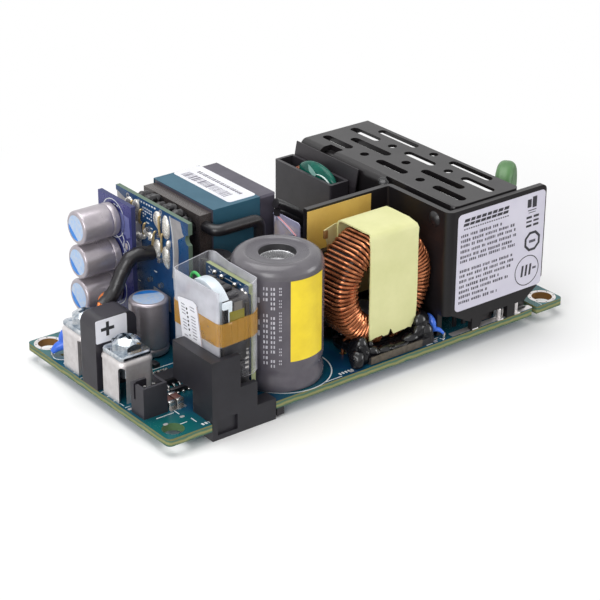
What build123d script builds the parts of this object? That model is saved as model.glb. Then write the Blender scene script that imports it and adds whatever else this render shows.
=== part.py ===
from build123d import *
import os
from math import cos, radians, sin, sqrt

os.makedirs("parts", exist_ok=True)

# Open frame power supply: one circuit board with every component standing on it.
# X runs along the board, from the output end (-X) to the mains end (+X).
# Y runs across it, and the rating plate stands on the front edge (-Y).
# Z is up, and z = 0 is the underside of the board, in the middle of its four holes.

# Driving sizes, in millimetres

# Main board
board_length = 101.6
board_width = 50.8
board_thickness = 1.6
board_corner_radius = 1.0
hole_spacing_x = 95.25
hole_spacing_y = 44.45
hole_diameter = 4.4
ear_slot_width = 1.4
ear_slot_length = 7.5
ear_slot_from_end = 8.4
lead_gap = 0.1
lead_below = 2.2
seat_gap = 0.1
wire_gap = 0.04

# Screw terminals, their dividing block and the signal header
terminal_width = 7.8
terminal_height = 9.0
terminal_sheet = 0.8
terminal_bend = 1.3
terminal_slot_width = 1.5
terminal_from_end = 0.5
screw_diameter = 3.4
screw_length = 6.0
screw_head_diameter = 6.4
screw_head_height = 2.6
screw_recess_width = 0.9
washer_width = 7.2
washer_thickness = 0.8
divider_length = 9.4
divider_width = 6.2
divider_height = 15.0
divider_center_y = 2.0
divider_round = 2.2
header_length = 5.4
header_width = 4.3
header_height = 6.4
header_wall = 0.6
header_floor = 1.6
header_from_end = 0.7
header_from_front = 11.3
header_pin_pitch = 2.0
header_pin_width = 0.5

# Upright circuit boards
daughter_thickness = 1.0
sync_board_from_end = 22.5
sync_board_width = 25.6
sync_board_top = 30.6
sync_notch_radius = 1.1
cap_board_from_end = 18.2
cap_board_width = 12.1
tongue_width = 4.0
rear_margin = 0.1

# Output capacitors
output_cap_diameter = 7.0
output_cap_length = 8.9
output_cap_pitch = 7.4
output_cap_round = 0.5
output_cap_lowest_z = 11.4
upright_cap_diameter = 8.0
upright_cap_height = 12.0
upright_cap_gap = 0.9
upright_cap_inset = 7.3
seal_height = 0.9
seal_inset = 0.35

# Bulk capacitor
bulk_diameter = 18.2
bulk_height = 26.5
bulk_gap = 0.5
sleeve_thickness = 0.25
sleeve_opening_diameter = 7.4
sleeve_ring_diameter = 12.4
sleeve_step = 0.3
bulk_shoulder = 1.7
bulk_bead_depth = 0.5

# Boost choke, a wound ring standing on edge
ring_gap = 0.1
ring_from_front = 8.1
ring_outer_diameter = 25.0
ring_hole_diameter = 13.4
ring_width = 9.3
ring_wire = 0.95
ring_turns = 42
ring_base_height = 1.4
ring_base_length = 17.2
ring_base_width = 12.4
ring_base_shift_x = 2.1
ring_base_shift_y = -1.2
belt_length = 11.9
belt_shift_x = 1.25
belt_thickness = 0.3
belt_bend = 1.2
belt_front_drop = 22.75
belt_rear_drop = 18.0

# Folded sheet heatsinks
heatsink_sheet = 1.2
heatsink_bend = 1.6
shelf_top = 29.8
wall_from_end = 32.1
shelf_length = 48.6
shelf_width = 18.8
shelf_from_front = 1.5
shelf_front_inset = 21.0
slot_width = 2.0
slot_pitch_x = 3.87
slot_first_x = 5.3
long_slot = 12.6
long_slot_pitch = 23.2
short_slot = 9.3
short_slot_pitch = 18.0
clip_window_width = 4.2
clip_window_depth = 3.2
clip_window_y = 16.0
bracket_top = 29.5
bracket_gap = 0.2
back_leg_length = 22.3
back_leg_from_front = 19.4
plate_length = 26.7
plate_bottom = 4.4
plate_cut_x = 4.6
plate_cut_z = 4.4
plate_corner_radius = 1.2
heatsink_tab = 1.7

# Power packages on the front heatsink
package_width = 9.8
package_height = 9.4
package_thickness = 4.4
package_tab_height = 6.2
tab_thickness = 1.3
leg_width = 0.8
leg_thickness = 0.5
leg_pitch = 2.54
leg_offset = 2.6
boost_bottom = 4.6
boost_transistor_x = 5.2
boost_diode_x = 15.1
switch_bottom = 6.4
first_switch_x = 8.5
second_switch_x = 19.0

# Main transformer
core_length = 15.6
core_width = 20.9
core_height = 27.0
coil_gap = 2.9
core_wall = 3.2
core_center_leg = 6.0
bobbin_height = 0.9
core_tape_length = 11.5
core_tape_thickness = 0.15
coil_overhang_left = 5.4
coil_overhang_right = 1.4
primary_lead_diameter = 2.4
inductor_diameter = 7.0
inductor_height = 21.4
inductor_gap_x = 1.3
inductor_gap_y = 2.4

# Output lead
output_sleeve_diameter = 3.0
output_wire_diameter = 1.6

# Auxiliary supply on its black carrier at the front edge
carrier_from_end = 10.0
carrier_length = 14.9
carrier_depth = 12.8
carrier_wall = 1.2
carrier_side_wall = 2.6
carrier_tall_length = 6.6
carrier_tall_top = 14.3
carrier_middle_length = 3.9
carrier_middle_top = 7.4
carrier_low_top = 2.3
carrier_keel_depth = 3.2
aux_board_inset = 11.9
aux_board_width = 14.6
aux_board_top = 25.2
aux_core_length = 5.2
aux_core_width = 12.6
aux_core_height = 13.2
film_thickness = 0.2
film_top = 27.0
film_bottom = 6.4
band_bottom = 14.4
band_width = 4.7
band_thickness = 0.1
opto_inset = 5.0
opto_gap = 3.6

# Mains side
cup_length = 19.3
cup_width = 5.0
cup_height = 24.9
cup_wall = 0.7
cup_floor = 7.4
cup_rear_gap = 0.05
cup_ring_diameter = 17.6
cup_ring_hole = 8.0
cup_ring_width = 2.2
cup_ring_turns = 9
mains_ring_gap = 0.1
mains_ring_from_front = 12.8
mains_ring_diameter = 22.0
mains_ring_hole = 8.0
mains_ring_width = 9.0
line_cap_length = 15.0
line_cap_width = 8.0
line_cap_height = 14.0
line_cap_gap = 0.8
line_cap_from_rear = 9.8
film_cap_length = 11.6
film_cap_width = 8.0
film_cap_height = 13.0
film_cap_gap = 2.0
film_cap_from_rear = 8.4
fuse_diameter = 8.4
fuse_height = 8.0
fuse_from_end = 6.9
fuse_from_rear = 9.4
connector_length = 11.9
connector_width = 9.0
connector_base = 3.2
connector_wall = 1.4
connector_height = 9.6
connector_from_end = 5.4
connector_y = 2.0
connector_pin_pitch = 7.92
connector_pin_width = 1.1
connector_pin_height = 11.0
thermistor_diameter = 11.0
thermistor_thickness = 3.8
thermistor_from_end = 5.0
thermistor_from_front = 14.2
thermistor_top = 29.3
thermistor_turn = 38.0
disc_cap_diameter = 5.6
disc_cap_thickness = 2.0


# Values worked out from the sizes above

board_top = board_thickness
left_end = -board_length / 2
right_end = board_length / 2
front_edge = -board_width / 2
rear_edge = board_width / 2
lead_end = -lead_below
sheet_middle = heatsink_sheet / 2

# Output end: the upright boards, then the transformer behind them
header_center_y = front_edge + header_from_front
sync_x = left_end + sync_board_from_end
sync_rear = rear_edge - rear_margin
upright_cap_x = sync_x - upright_cap_gap - upright_cap_diameter / 2
upright_cap_y = sync_rear - sync_board_width + upright_cap_inset
coil_left = sync_x + daughter_thickness + coil_gap
core_left = coil_left + coil_overhang_left
core_rear = rear_edge - rear_margin
core_front = core_rear - core_width
core_y = core_rear - core_width / 2
core_bottom = board_top + bobbin_height
core_top = core_bottom + core_height
middle_z = (core_bottom + core_top) / 2
inductor_x = sync_x + daughter_thickness + inductor_gap_x + inductor_diameter / 2
inductor_y = core_front - inductor_gap_y - inductor_diameter / 2

# Front edge: the auxiliary supply on its carrier, then the bulk capacitor
carrier_left = left_end + carrier_from_end
aux_board_x = carrier_left + aux_board_inset
bulk_x = aux_board_x + daughter_thickness + bulk_gap + bulk_diameter / 2
bulk_y = front_edge + bulk_gap + bulk_diameter / 2

# Mains end: the two heatsinks, with the wound parts on both sides of them
wall_x = right_end - wall_from_end
bracket_side_x = wall_x - seat_gap - bracket_gap - sheet_middle
plate_left = bracket_side_x - sheet_middle
back_leg_y = front_edge + back_leg_from_front
shelf_front = front_edge + shelf_from_front
shelf_center_y = shelf_front + shelf_length / 2
ring_x = plate_left - ring_gap - ring_outer_diameter / 2
ring_y = front_edge + ring_from_front
opto_x = core_left + opto_inset
opto_y = back_leg_y + opto_gap
cup_center_y = rear_edge - cup_rear_gap - cup_length / 2
mains_ring_x = wall_x + heatsink_sheet + mains_ring_gap + mains_ring_diameter / 2
mains_ring_y = front_edge + mains_ring_from_front
fuse_x = right_end - fuse_from_end
fuse_y = rear_edge - fuse_from_rear
line_cap_x = fuse_x - fuse_diameter / 2 - line_cap_gap - line_cap_length / 2
line_cap_y = rear_edge - line_cap_from_rear
film_cap_y = rear_edge - film_cap_from_rear
thermistor_y = front_edge + thermistor_from_front

# Through-hole leads: each entry is a list of places with the lead's size in X and in Y.
# The board's holes and the components' leads are both made from this list.
leads = {}


def lead_feet(name):
    """Cross-sections of one component's leads, at their free ends below the board."""
    places, size_x, size_y = leads[name]
    with BuildSketch(Plane.XY.offset(lead_end)) as feet:
        with Locations(*places):
            Rectangle(size_x, size_y)
    return feet.sketch


def finish(part, name):
    """Name a finished piece and write it to its own file."""
    part.label = name
    export_step(part, f"parts/{name}.step")


def finish_group(pieces, name):
    """Write several like pieces, such as the two screws, as one file."""
    with BuildPart() as group:
        for piece in pieces:
            add(piece)
    finish(group.part, name)


# Screw terminals: a folded tin-plated saddle on each side of the dividing block
terminal_x = left_end + terminal_from_end + terminal_width / 2
terminal_offset = divider_width / 2 + seat_gap + terminal_width / 2
terminal_top = board_top + terminal_height
tab_width = 3.0
terminals = []
washers = []
screws = []
for side, name in ((-1, "terminal_front"), (1, "terminal_rear")):
    outer_leg_y = divider_center_y + side * (terminal_offset + (terminal_width - terminal_sheet) / 2)
    leads[name] = ([(terminal_x, outer_leg_y)], tab_width, terminal_sheet)
    terminal_y = divider_center_y + side * terminal_offset
    with BuildPart() as terminal:
        with BuildSketch(Plane.XY.offset(board_top)):
            with Locations((terminal_x, terminal_y)):
                Rectangle(terminal_width, terminal_width)
        extrude(amount=terminal_height)
        fillet(terminal.edges().filter_by(Axis.Z), terminal_bend)
        fillet(terminal.faces().sort_by(Axis.Z)[-1].edges(), terminal_bend)
        offset(amount=-terminal_sheet, openings=terminal.faces().sort_by(Axis.Z)[0])
        # The side against the block is open, and so is the lower part of the inner end.
        with BuildSketch(Plane.XY.offset(board_top)):
            with Locations((terminal_x, terminal_y - side * terminal_width / 2)):
                Rectangle(terminal_width, 2 * terminal_bend)
        extrude(amount=terminal_height - terminal_bend, mode=Mode.SUBTRACT)
        # A round-ended slot parts the two legs at each outer corner.
        for corner in (-1, 1):
            corner_plane = Plane(
                origin=(
                    terminal_x + corner * terminal_width / 2,
                    terminal_y + side * terminal_width / 2,
                    board_top,
                ),
                x_dir=(corner, -side, 0),
                z_dir=(-corner, -side, 0),
            )
            slot_height = terminal_height - terminal_bend - terminal_slot_width / 2
            up = 1 if corner_plane.y_dir.Z > 0 else -1
            with BuildSketch(corner_plane):
                with Locations((0, up * slot_height / 2)):
                    Rectangle(terminal_slot_width, slot_height)
                with Locations((0, up * slot_height)):
                    Circle(terminal_slot_width / 2)
            extrude(amount=2 * terminal_bend, both=True, mode=Mode.SUBTRACT)
        with BuildSketch(Plane.XY.offset(terminal_top)):
            with Locations((terminal_x, terminal_y)):
                Circle(screw_diameter / 2 + lead_gap / 2)
        extrude(amount=-2 * terminal_sheet, mode=Mode.SUBTRACT)
        extrude(lead_feet(name), amount=board_top + terminal_sheet - lead_end)
    terminals.append(terminal.part)

    # Square washer with a shallow dish, loose under the head
    with BuildPart() as washer:
        with BuildSketch(Plane.XY.offset(terminal_top)):
            with Locations((terminal_x, terminal_y)):
                RectangleRounded(washer_width, washer_width, washer_width / 8)
                Circle(screw_diameter / 2 + lead_gap, mode=Mode.SUBTRACT)
        extrude(amount=washer_thickness)
        chamfer(washer.faces().sort_by(Axis.Z)[-1].outer_wire().edges(), washer_thickness / 3)
    washers.append(washer.part)

    # Machine screw with a hexagonal collar, a domed top and a cross recess
    head_bottom = terminal_top + washer_thickness
    with BuildPart() as screw:
        with BuildSketch(Plane.XY.offset(head_bottom)):
            with Locations((terminal_x, terminal_y)):
                RegularPolygon(screw_head_diameter / 2, 6)
        extrude(amount=screw_head_height)
        with BuildSketch(Plane.XZ.offset(-terminal_y)):
            with BuildLine():
                dome_radius = screw_head_diameter * 0.62
                Line((terminal_x, head_bottom), (terminal_x + screw_head_diameter / 2, head_bottom))
                Line(
                    (terminal_x + screw_head_diameter / 2, head_bottom),
                    (terminal_x + screw_head_diameter / 2, head_bottom + screw_head_height * 0.45),
                )
                RadiusArc(
                    (terminal_x + screw_head_diameter / 2, head_bottom + screw_head_height * 0.45),
                    (terminal_x, head_bottom + screw_head_height),
                    -dome_radius,
                )
                Line((terminal_x, head_bottom + screw_head_height), (terminal_x, head_bottom))
            make_face()
        revolve(axis=Axis((terminal_x, terminal_y, 0), (0, 0, 1)), mode=Mode.INTERSECT)
        with BuildSketch(Plane.XY.offset(head_bottom + screw_head_height)):
            with Locations((terminal_x, terminal_y)):
                Rectangle(screw_head_diameter / 2, screw_recess_width)
                Rectangle(screw_recess_width, screw_head_diameter / 2)
        extrude(amount=-screw_head_height / 2, taper=8, mode=Mode.SUBTRACT)
        with BuildSketch(Plane.XY.offset(head_bottom)):
            with Locations((terminal_x, terminal_y)):
                Circle(screw_diameter / 2)
        extrude(amount=-screw_length)
    screws.append(screw.part)
finish_group(terminals, "screw_terminals")
finish_group(washers, "terminal_washers")
finish_group(screws, "terminal_screws")


# Dividing block between the two terminals
divider_x = left_end + divider_length / 2
with BuildPart() as divider:
    with BuildSketch(Plane.XZ.offset(-divider_center_y)):
        with Locations((divider_x, board_top + divider_height / 2)):
            Rectangle(divider_length, divider_height)
    extrude(amount=divider_width / 2, both=True)
    fillet(divider.faces().sort_by(Axis.Z)[-1].edges().filter_by(Axis.Y), divider_round)
    fillet(divider.edges().group_by(Axis.Y)[-1].sort_by(Axis.Z)[-1], divider_round / 2)
finish(divider.part, "terminal_divider")


# Signal header: open-topped shroud with a keying slot, and two pins
header_x = left_end + header_from_end + header_length / 2
header_pins = [
    (header_x - header_pin_pitch / 2, header_center_y),
    (header_x + header_pin_pitch / 2, header_center_y),
]
leads["header_pins"] = (header_pins, header_pin_width, header_pin_width)
with BuildPart() as header:
    with BuildSketch(Plane.XY.offset(board_top)):
        with Locations((header_x, header_center_y)):
            Rectangle(header_length, header_width)
    extrude(amount=header_height)
    with BuildSketch(Plane.XY.offset(board_top + header_floor)):
        with Locations((header_x, header_center_y)):
            Rectangle(header_length - 2 * header_wall, header_width - 2 * header_wall)
    extrude(amount=header_height, mode=Mode.SUBTRACT)
    with BuildSketch(Plane.XY.offset(board_top)):
        with Locations(*header_pins):
            Rectangle(header_pin_width, header_pin_width)
    extrude(amount=header_floor, mode=Mode.SUBTRACT)
    with BuildSketch(Plane.XY.offset(board_top + header_height / 2)):
        with Locations((header_x - header_length / 2, header_center_y + header_width / 5)):
            Rectangle(3 * header_wall, header_wall)
        with Locations((header_x + header_length / 4, header_center_y + header_width / 2)):
            Rectangle(header_length / 3, 3 * header_wall)
    extrude(amount=header_height, mode=Mode.SUBTRACT)
finish(header.part, "signal_header")

with BuildPart() as header_posts:
    extrude(lead_feet("header_pins"), amount=board_top + header_height - header_wall - lead_end)
finish(header_posts.part, "header_pins")


# Rectifier board: stands across the board and takes the transformer's output pins
sync_y = sync_rear - sync_board_width / 2
tongue_places = (-sync_board_width / 3, sync_board_width / 3)
pin_rows = (middle_z - 2.0, middle_z + 3.5, middle_z + 9.0)
pin_columns = (core_y - 5.6, core_y - 1.8, core_y + 4.2)
bobbin_pin_width = 0.8
leads["sync_board"] = (
    [(sync_x + daughter_thickness / 2, sync_y + t) for t in tongue_places],
    daughter_thickness,
    tongue_width,
)
with BuildPart() as sync_board:
    with BuildSketch(Plane.YZ.offset(sync_x)):
        with Locations((sync_y, (board_top + sync_board_top) / 2)):
            Rectangle(sync_board_width, sync_board_top - board_top)
        with Locations(
            (sync_rear, sync_board_top - 2.2),
            (sync_rear - sync_board_width, sync_board_top - 3.6),
        ):
            Circle(sync_notch_radius, mode=Mode.SUBTRACT)
        for row in pin_rows:
            for column in pin_columns:
                with Locations((column, row)):
                    Rectangle(
                        bobbin_pin_width + 2 * lead_gap,
                        bobbin_pin_width + 2 * lead_gap,
                        mode=Mode.SUBTRACT,
                    )
        # A low gap lets the output lead pass under the board's front end.
        with Locations((sync_y - sync_board_width / 2, board_top)):
            Rectangle(tongue_width, 2 * tongue_width, mode=Mode.SUBTRACT)
    extrude(amount=daughter_thickness)
    extrude(lead_feet("sync_board"), amount=board_top - lead_end)
finish(sync_board.part, "rectifier_board")


# Capacitor board with three output capacitors lying on their sides
cap_board_x = left_end + cap_board_from_end
cap_board_y = sync_rear - cap_board_width / 2
leads["cap_board"] = (
    [(cap_board_x + daughter_thickness / 2, cap_board_y)],
    daughter_thickness,
    tongue_width,
)
with BuildPart() as cap_board:
    with BuildSketch(Plane.YZ.offset(cap_board_x)):
        with Locations((cap_board_y, (board_top + sync_board_top) / 2)):
            Rectangle(cap_board_width, sync_board_top - board_top)
    extrude(amount=daughter_thickness)
    extrude(lead_feet("cap_board"), amount=board_top - lead_end)
finish(cap_board.part, "capacitor_board")


def capacitor_profile(plane, radius, height):
    """Half outline of a small can: narrower rubber seal at the foot, rounded rim at the top."""
    seal_radius = radius - seal_inset
    with BuildSketch(plane) as half:
        with BuildLine():
            Polyline(
                (0, 0),
                (seal_radius, 0),
                (seal_radius, seal_height * 0.6),
                (radius, seal_height),
                (radius, height),
                (0, height),
                close=True,
            )
        make_face()
        rim_corner = plane.from_local_coords((radius, height))
        fillet(half.vertices().sort_by_distance(rim_corner)[0], output_cap_round)
    return half.sketch


cap_y = cap_board_y + 0.6
lying_caps = []
for number in range(3):
    cap_z = output_cap_lowest_z + number * output_cap_pitch
    foot = Plane(origin=(cap_board_x, cap_y, cap_z), x_dir=(0, 0, 1), z_dir=(0, -1, 0))
    with BuildPart() as output_cap:
        profile = capacitor_profile(foot, output_cap_diameter / 2, output_cap_length)
        revolve(profile, axis=Axis((cap_board_x, cap_y, cap_z), (-1, 0, 0)))
    lying_caps.append(output_cap.part)
finish_group(lying_caps, "lying_capacitors")

cap_lead_width = 0.6
leads["upright_cap"] = (
    [
        (upright_cap_x - upright_cap_diameter * 0.22, upright_cap_y),
        (upright_cap_x + upright_cap_diameter * 0.22, upright_cap_y),
    ],
    cap_lead_width,
    cap_lead_width,
)
with BuildPart() as upright_cap:
    foot = Plane(origin=(upright_cap_x, upright_cap_y, board_top), x_dir=(1, 0, 0), z_dir=(0, -1, 0))
    profile = capacitor_profile(foot, upright_cap_diameter / 2, upright_cap_height)
    revolve(profile, axis=Axis((upright_cap_x, upright_cap_y, board_top), (0, 0, 1)))
    extrude(lead_feet("upright_cap"), amount=board_top + seal_height / 2 - lead_end)
finish(upright_cap.part, "upright_capacitor")


# Bulk capacitor: an aluminium can in a shrunk sleeve that is open over the vent
bulk_radius = bulk_diameter / 2
can_radius = bulk_radius - sleeve_thickness
bulk_top = board_top + bulk_height
can_top = bulk_top - sleeve_step - sleeve_thickness
bead_z = board_top + 0.14 * bulk_height
leads["bulk_can"] = (
    [(bulk_x, bulk_y - 5.0), (bulk_x, bulk_y + 5.0)],
    1.4,
    0.8,
)
bulk_axis = Axis((bulk_x, bulk_y, 0), (0, 0, 1))
bulk_plane = Plane(origin=(bulk_x, bulk_y, 0), x_dir=(1, 0, 0), z_dir=(0, -1, 0))


def bulk_outline(radius, bottom, top):
    """Half outline of the can with its rolled bead near the foot and its round shoulder."""
    bead = bulk_bead_depth
    with BuildSketch(bulk_plane) as half:
        with BuildLine():
            Line((0, bottom), (radius, bottom))
            Line((radius, bottom), (radius, bead_z - 2 * bead))
            Line((radius, bead_z - 2 * bead), (radius - bead, bead_z))
            Line((radius - bead, bead_z), (radius, bead_z + 2 * bead))
            Line((radius, bead_z + 2 * bead), (radius, top - bulk_shoulder))
            RadiusArc((radius, top - bulk_shoulder), (radius - bulk_shoulder, top), -bulk_shoulder)
            Line((radius - bulk_shoulder, top), (0, top))
            Line((0, top), (0, bottom))
        make_face()
    return half.sketch


with BuildPart() as bulk_can:
    can_profile = bulk_outline(can_radius - wire_gap, board_top + sleeve_thickness, can_top)
    revolve(can_profile, axis=bulk_axis)
    extrude(lead_feet("bulk_can"), amount=board_top + 2 * sleeve_thickness - lead_end)
finish(bulk_can.part, "bulk_capacitor_can")

with BuildPart() as bulk_sleeve:
    revolve(bulk_outline(bulk_radius, board_top, bulk_top), axis=bulk_axis)
    inside_profile = bulk_outline(can_radius, board_top, bulk_top - sleeve_thickness)
    revolve(inside_profile, axis=bulk_axis, mode=Mode.SUBTRACT)
    # The end of the sleeve steps down inside the shoulder and leaves a round opening.
    with BuildSketch(Plane.XY.offset(bulk_top)):
        with Locations((bulk_x, bulk_y)):
            Circle(sleeve_ring_diameter / 2)
    extrude(amount=-sleeve_step, mode=Mode.SUBTRACT)
    with BuildSketch(Plane.XY.offset(can_top)):
        with Locations((bulk_x, bulk_y)):
            Circle(sleeve_ring_diameter / 2 + sleeve_thickness)
            Circle(sleeve_opening_diameter / 2, mode=Mode.SUBTRACT)
    extrude(amount=sleeve_thickness)
    with BuildSketch(Plane.XY.offset(can_top)):
        with Locations((bulk_x, bulk_y)):
            Circle(sleeve_ring_diameter / 2 + sleeve_thickness)
            Circle(sleeve_ring_diameter / 2, mode=Mode.SUBTRACT)
    extrude(amount=sleeve_thickness + sleeve_step)
finish(bulk_sleeve.part, "bulk_capacitor_sleeve")


# Boost choke: a ring core wound with copper wire, on a black base
ring_base_top = board_top + ring_base_height
ring_z = ring_base_top + seat_gap / 2 + ring_outer_diameter / 2
core_outer = ring_outer_diameter / 2 - ring_wire
core_hole = ring_hole_diameter / 2 + ring_wire
core_thickness = ring_width - 2 * ring_wire
ring_plane = Plane(origin=(ring_x, ring_y, ring_z), x_dir=(1, 0, 0), z_dir=(0, -1, 0))
with BuildPart() as ring_core:
    with BuildSketch(ring_plane):
        Circle(core_outer - wire_gap)
        Circle(core_hole + wire_gap, mode=Mode.SUBTRACT)
    extrude(amount=core_thickness / 2 - wire_gap, both=True)
    chamfer(ring_core.edges().filter_by(GeomType.CIRCLE), ring_wire / 2)
finish(ring_core.part, "choke_core")

# One turn of wire round the core's section, repeated round the ring.
# Turns lie close together in the hole and fan out towards the rim.
def wire_turn(hole_radius, rim_radius, thickness, wire, cut):
    """One closed turn of wire round a ring core whose axis is Z, with its corners cut off."""
    inner = hole_radius - wire / 2
    outer = rim_radius + wire / 2
    face = thickness / 2 + wire / 2
    with BuildPart() as turn:
        with BuildLine() as path:
            Polyline(
                (inner, 0, 0),
                (inner, 0, face - cut),
                (inner + cut, 0, face),
                (outer - cut, 0, face),
                (outer, 0, face - cut),
                (outer, 0, cut - face),
                (outer - cut, 0, -face),
                (inner + cut, 0, -face),
                (inner, 0, cut - face),
                close=True,
            )
        with BuildSketch(Plane.XY.move(Location((inner, 0, 0)))):
            RegularPolygon(wire / 2, 6)
        sweep(path=path.wires()[0], transition=Transition.RIGHT)
    return turn.part


winding_lead_offset = 0.3 * ring_outer_diameter
wire_radius = core_outer + ring_wire / 2
leads["choke_winding"] = (
    [(ring_x - winding_lead_offset, ring_y), (ring_x + winding_lead_offset, ring_y)],
    ring_wire,
    ring_wire,
)
with BuildPart(ring_plane) as winding:
    with PolarLocations(0, ring_turns, start_angle=90 + 180 / ring_turns):
        add(wire_turn(core_hole, core_outer, core_thickness, ring_wire, 0.6 * ring_wire))
    winding_foot_z = ring_z - sqrt(wire_radius**2 - winding_lead_offset**2)
    extrude(lead_feet("choke_winding"), amount=winding_foot_z - lead_end)
finish(winding.part, "choke_winding")


# Black base under the choke, open where the winding's ends pass through
ring_base_x = ring_x + ring_base_shift_x
with BuildPart() as ring_base:
    with BuildSketch(Plane.XY.offset(board_top)):
        with Locations((ring_base_x, ring_y + ring_base_shift_y)):
            RectangleRounded(ring_base_length, ring_base_width, ring_base_height / 2)
        with Locations(*leads["choke_winding"][0]):
            Rectangle(2 * ring_wire, 2 * ring_wire, mode=Mode.SUBTRACT)
    extrude(amount=ring_base_height)
finish(ring_base.part, "choke_base")

# Tape belt over the top of the winding and down its two sides
belt_inner = ring_width / 2 + seat_gap / 2
belt_outer = belt_inner + belt_thickness
belt_top = ring_z + ring_outer_diameter / 2 + seat_gap + belt_thickness
belt_x = ring_x + belt_shift_x
with BuildPart() as belt:
    with BuildSketch(Plane.YZ.offset(belt_x)):
        with BuildLine():
            FilletPolyline(
                (ring_y - belt_inner - belt_thickness / 2, belt_top - belt_front_drop),
                (ring_y - belt_inner - belt_thickness / 2, belt_top - belt_thickness / 2),
                (ring_y + belt_inner + belt_thickness / 2, belt_top - belt_thickness / 2),
                (ring_y + belt_inner + belt_thickness / 2, belt_top - belt_rear_drop),
                radius=belt_bend,
            )
        trace(line_width=belt_thickness)
    extrude(amount=belt_length / 2, both=True)
finish(belt.part, "choke_tape")


# Slotted heatsink: an upright wall bent over into a shelf, punched with slots and holes
shelf_rear = shelf_front + shelf_length
wall_front = shelf_front + shelf_front_inset
leads["slotted_heatsink"] = (
    [
        (wall_x + sheet_middle, shelf_center_y + long_slot_pitch / 8),
        (wall_x + sheet_middle, shelf_center_y + long_slot_pitch * 0.8),
    ],
    heatsink_sheet,
    2 * heatsink_tab,
)
with BuildPart() as slotted_heatsink:
    with BuildSketch(Plane.XZ.offset(-shelf_rear)):
        with BuildLine():
            FilletPolyline(
                (wall_x + sheet_middle, board_top),
                (wall_x + sheet_middle, shelf_top - sheet_middle),
                (wall_x + shelf_width, shelf_top - sheet_middle),
                radius=heatsink_bend - sheet_middle,
            )
        trace(line_width=heatsink_sheet)
    extrude(amount=shelf_length)
    # In front of the wall only the shelf goes on, clear of the other heatsink.
    with BuildSketch(Plane.XZ.offset(-wall_front)):
        with Locations((wall_x, board_top)):
            Rectangle(2 * heatsink_sheet, 4 * shelf_top)
    extrude(amount=2 * shelf_length, mode=Mode.SUBTRACT)
    shelf_corners = slotted_heatsink.edges().filter_by(Axis.Z).group_by(Axis.Y)[0]
    fillet(shelf_corners, heatsink_sheet)
    with BuildSketch(Plane.XY.offset(shelf_top)):
        for column in range(4):
            column_x = wall_x + slot_first_x + column * slot_pitch_x
            if column % 2 == 0:
                slot_places = [-short_slot_pitch, 0, short_slot_pitch]
                hole_places = [-short_slot_pitch / 2, short_slot_pitch / 2]
                length = short_slot
            else:
                slot_places = [-long_slot_pitch / 2, long_slot_pitch / 2]
                hole_places = [0]
                length = long_slot
            with Locations(*[(column_x, shelf_center_y + y) for y in slot_places]):
                SlotOverall(length, slot_width, rotation=90)
            with Locations(*[(column_x, shelf_center_y + y) for y in hole_places]):
                Circle(slot_width / 2)
    extrude(amount=-2 * heatsink_sheet, mode=Mode.SUBTRACT)
    # Window through the bend for a spring clip
    with BuildSketch(Plane.XY.offset(shelf_top)):
        with Locations((wall_x, clip_window_y)):
            Rectangle(2 * clip_window_depth, clip_window_width)
    extrude(amount=-clip_window_depth, mode=Mode.SUBTRACT)
    extrude(lead_feet("slotted_heatsink"), amount=board_top - lead_end)
finish(slotted_heatsink.part, "slotted_heatsink")


# Front heatsink: a leg behind the choke, a side and the plate along the front edge
plate_y = front_edge + sheet_middle
plate_right = plate_left + plate_length
back_leg_left = bracket_side_x + sheet_middle - back_leg_length
leads["front_heatsink"] = (
    [
        (back_leg_left + 0.25 * back_leg_length, back_leg_y),
        (back_leg_left + 0.75 * back_leg_length, back_leg_y),
    ],
    2 * heatsink_tab,
    heatsink_sheet,
)
foot_places = (plate_left + 0.315 * plate_length, plate_left + 0.685 * plate_length)
rivet_y = front_edge + 4.5
rivet_z = bracket_top - 2.5
rivet_diameter = 2.0
with BuildPart() as front_heatsink:
    with BuildSketch(Plane.XY.offset(board_top)):
        with BuildLine():
            FilletPolyline(
                (back_leg_left, back_leg_y),
                (bracket_side_x, back_leg_y),
                (bracket_side_x, plate_y),
                (plate_right, plate_y),
                radius=heatsink_bend - sheet_middle,
            )
        trace(line_width=heatsink_sheet)
    extrude(amount=bracket_top - board_top)
    # The lower edge of the plate is raised off the board between its two feet.
    with BuildSketch(Plane.XZ.offset(-front_edge - 2 * heatsink_sheet)) as lower_edge:
        with BuildLine():
            Polyline(
                (plate_left - 1, board_top - 1),
                (plate_right + 1, board_top - 1),
                (plate_right + 1, plate_cut_z + plate_bottom),
                (plate_right, plate_cut_z + plate_bottom),
                (plate_right - plate_cut_x / 3, plate_bottom + plate_cut_z / 2),
                (plate_right - plate_cut_x, plate_bottom),
                (plate_left + plate_cut_x + heatsink_sheet, plate_bottom),
                (plate_left + heatsink_bend, plate_bottom + plate_cut_z / 2),
                (plate_left - 1, plate_bottom + plate_cut_z / 2),
                close=True,
            )
        make_face()
        for foot_x in foot_places:
            with Locations((foot_x, (board_top + plate_bottom) / 2)):
                Rectangle(2.0, plate_bottom + 2.0, mode=Mode.SUBTRACT)
    extrude(amount=4 * heatsink_sheet, mode=Mode.SUBTRACT)
    top_right = front_heatsink.edges().filter_by(Axis.Y).group_by(Axis.X)[-1].sort_by(Axis.Z)[-1]
    fillet(top_right, plate_corner_radius)
    with BuildSketch(Plane.YZ.offset(bracket_side_x)):
        with Locations((rivet_y, rivet_z)):
            Circle(rivet_diameter / 2 + seat_gap / 2)
    extrude(amount=heatsink_sheet, both=True, mode=Mode.SUBTRACT)
    extrude(lead_feet("front_heatsink"), amount=board_top - lead_end)
finish(front_heatsink.part, "front_heatsink")

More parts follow.
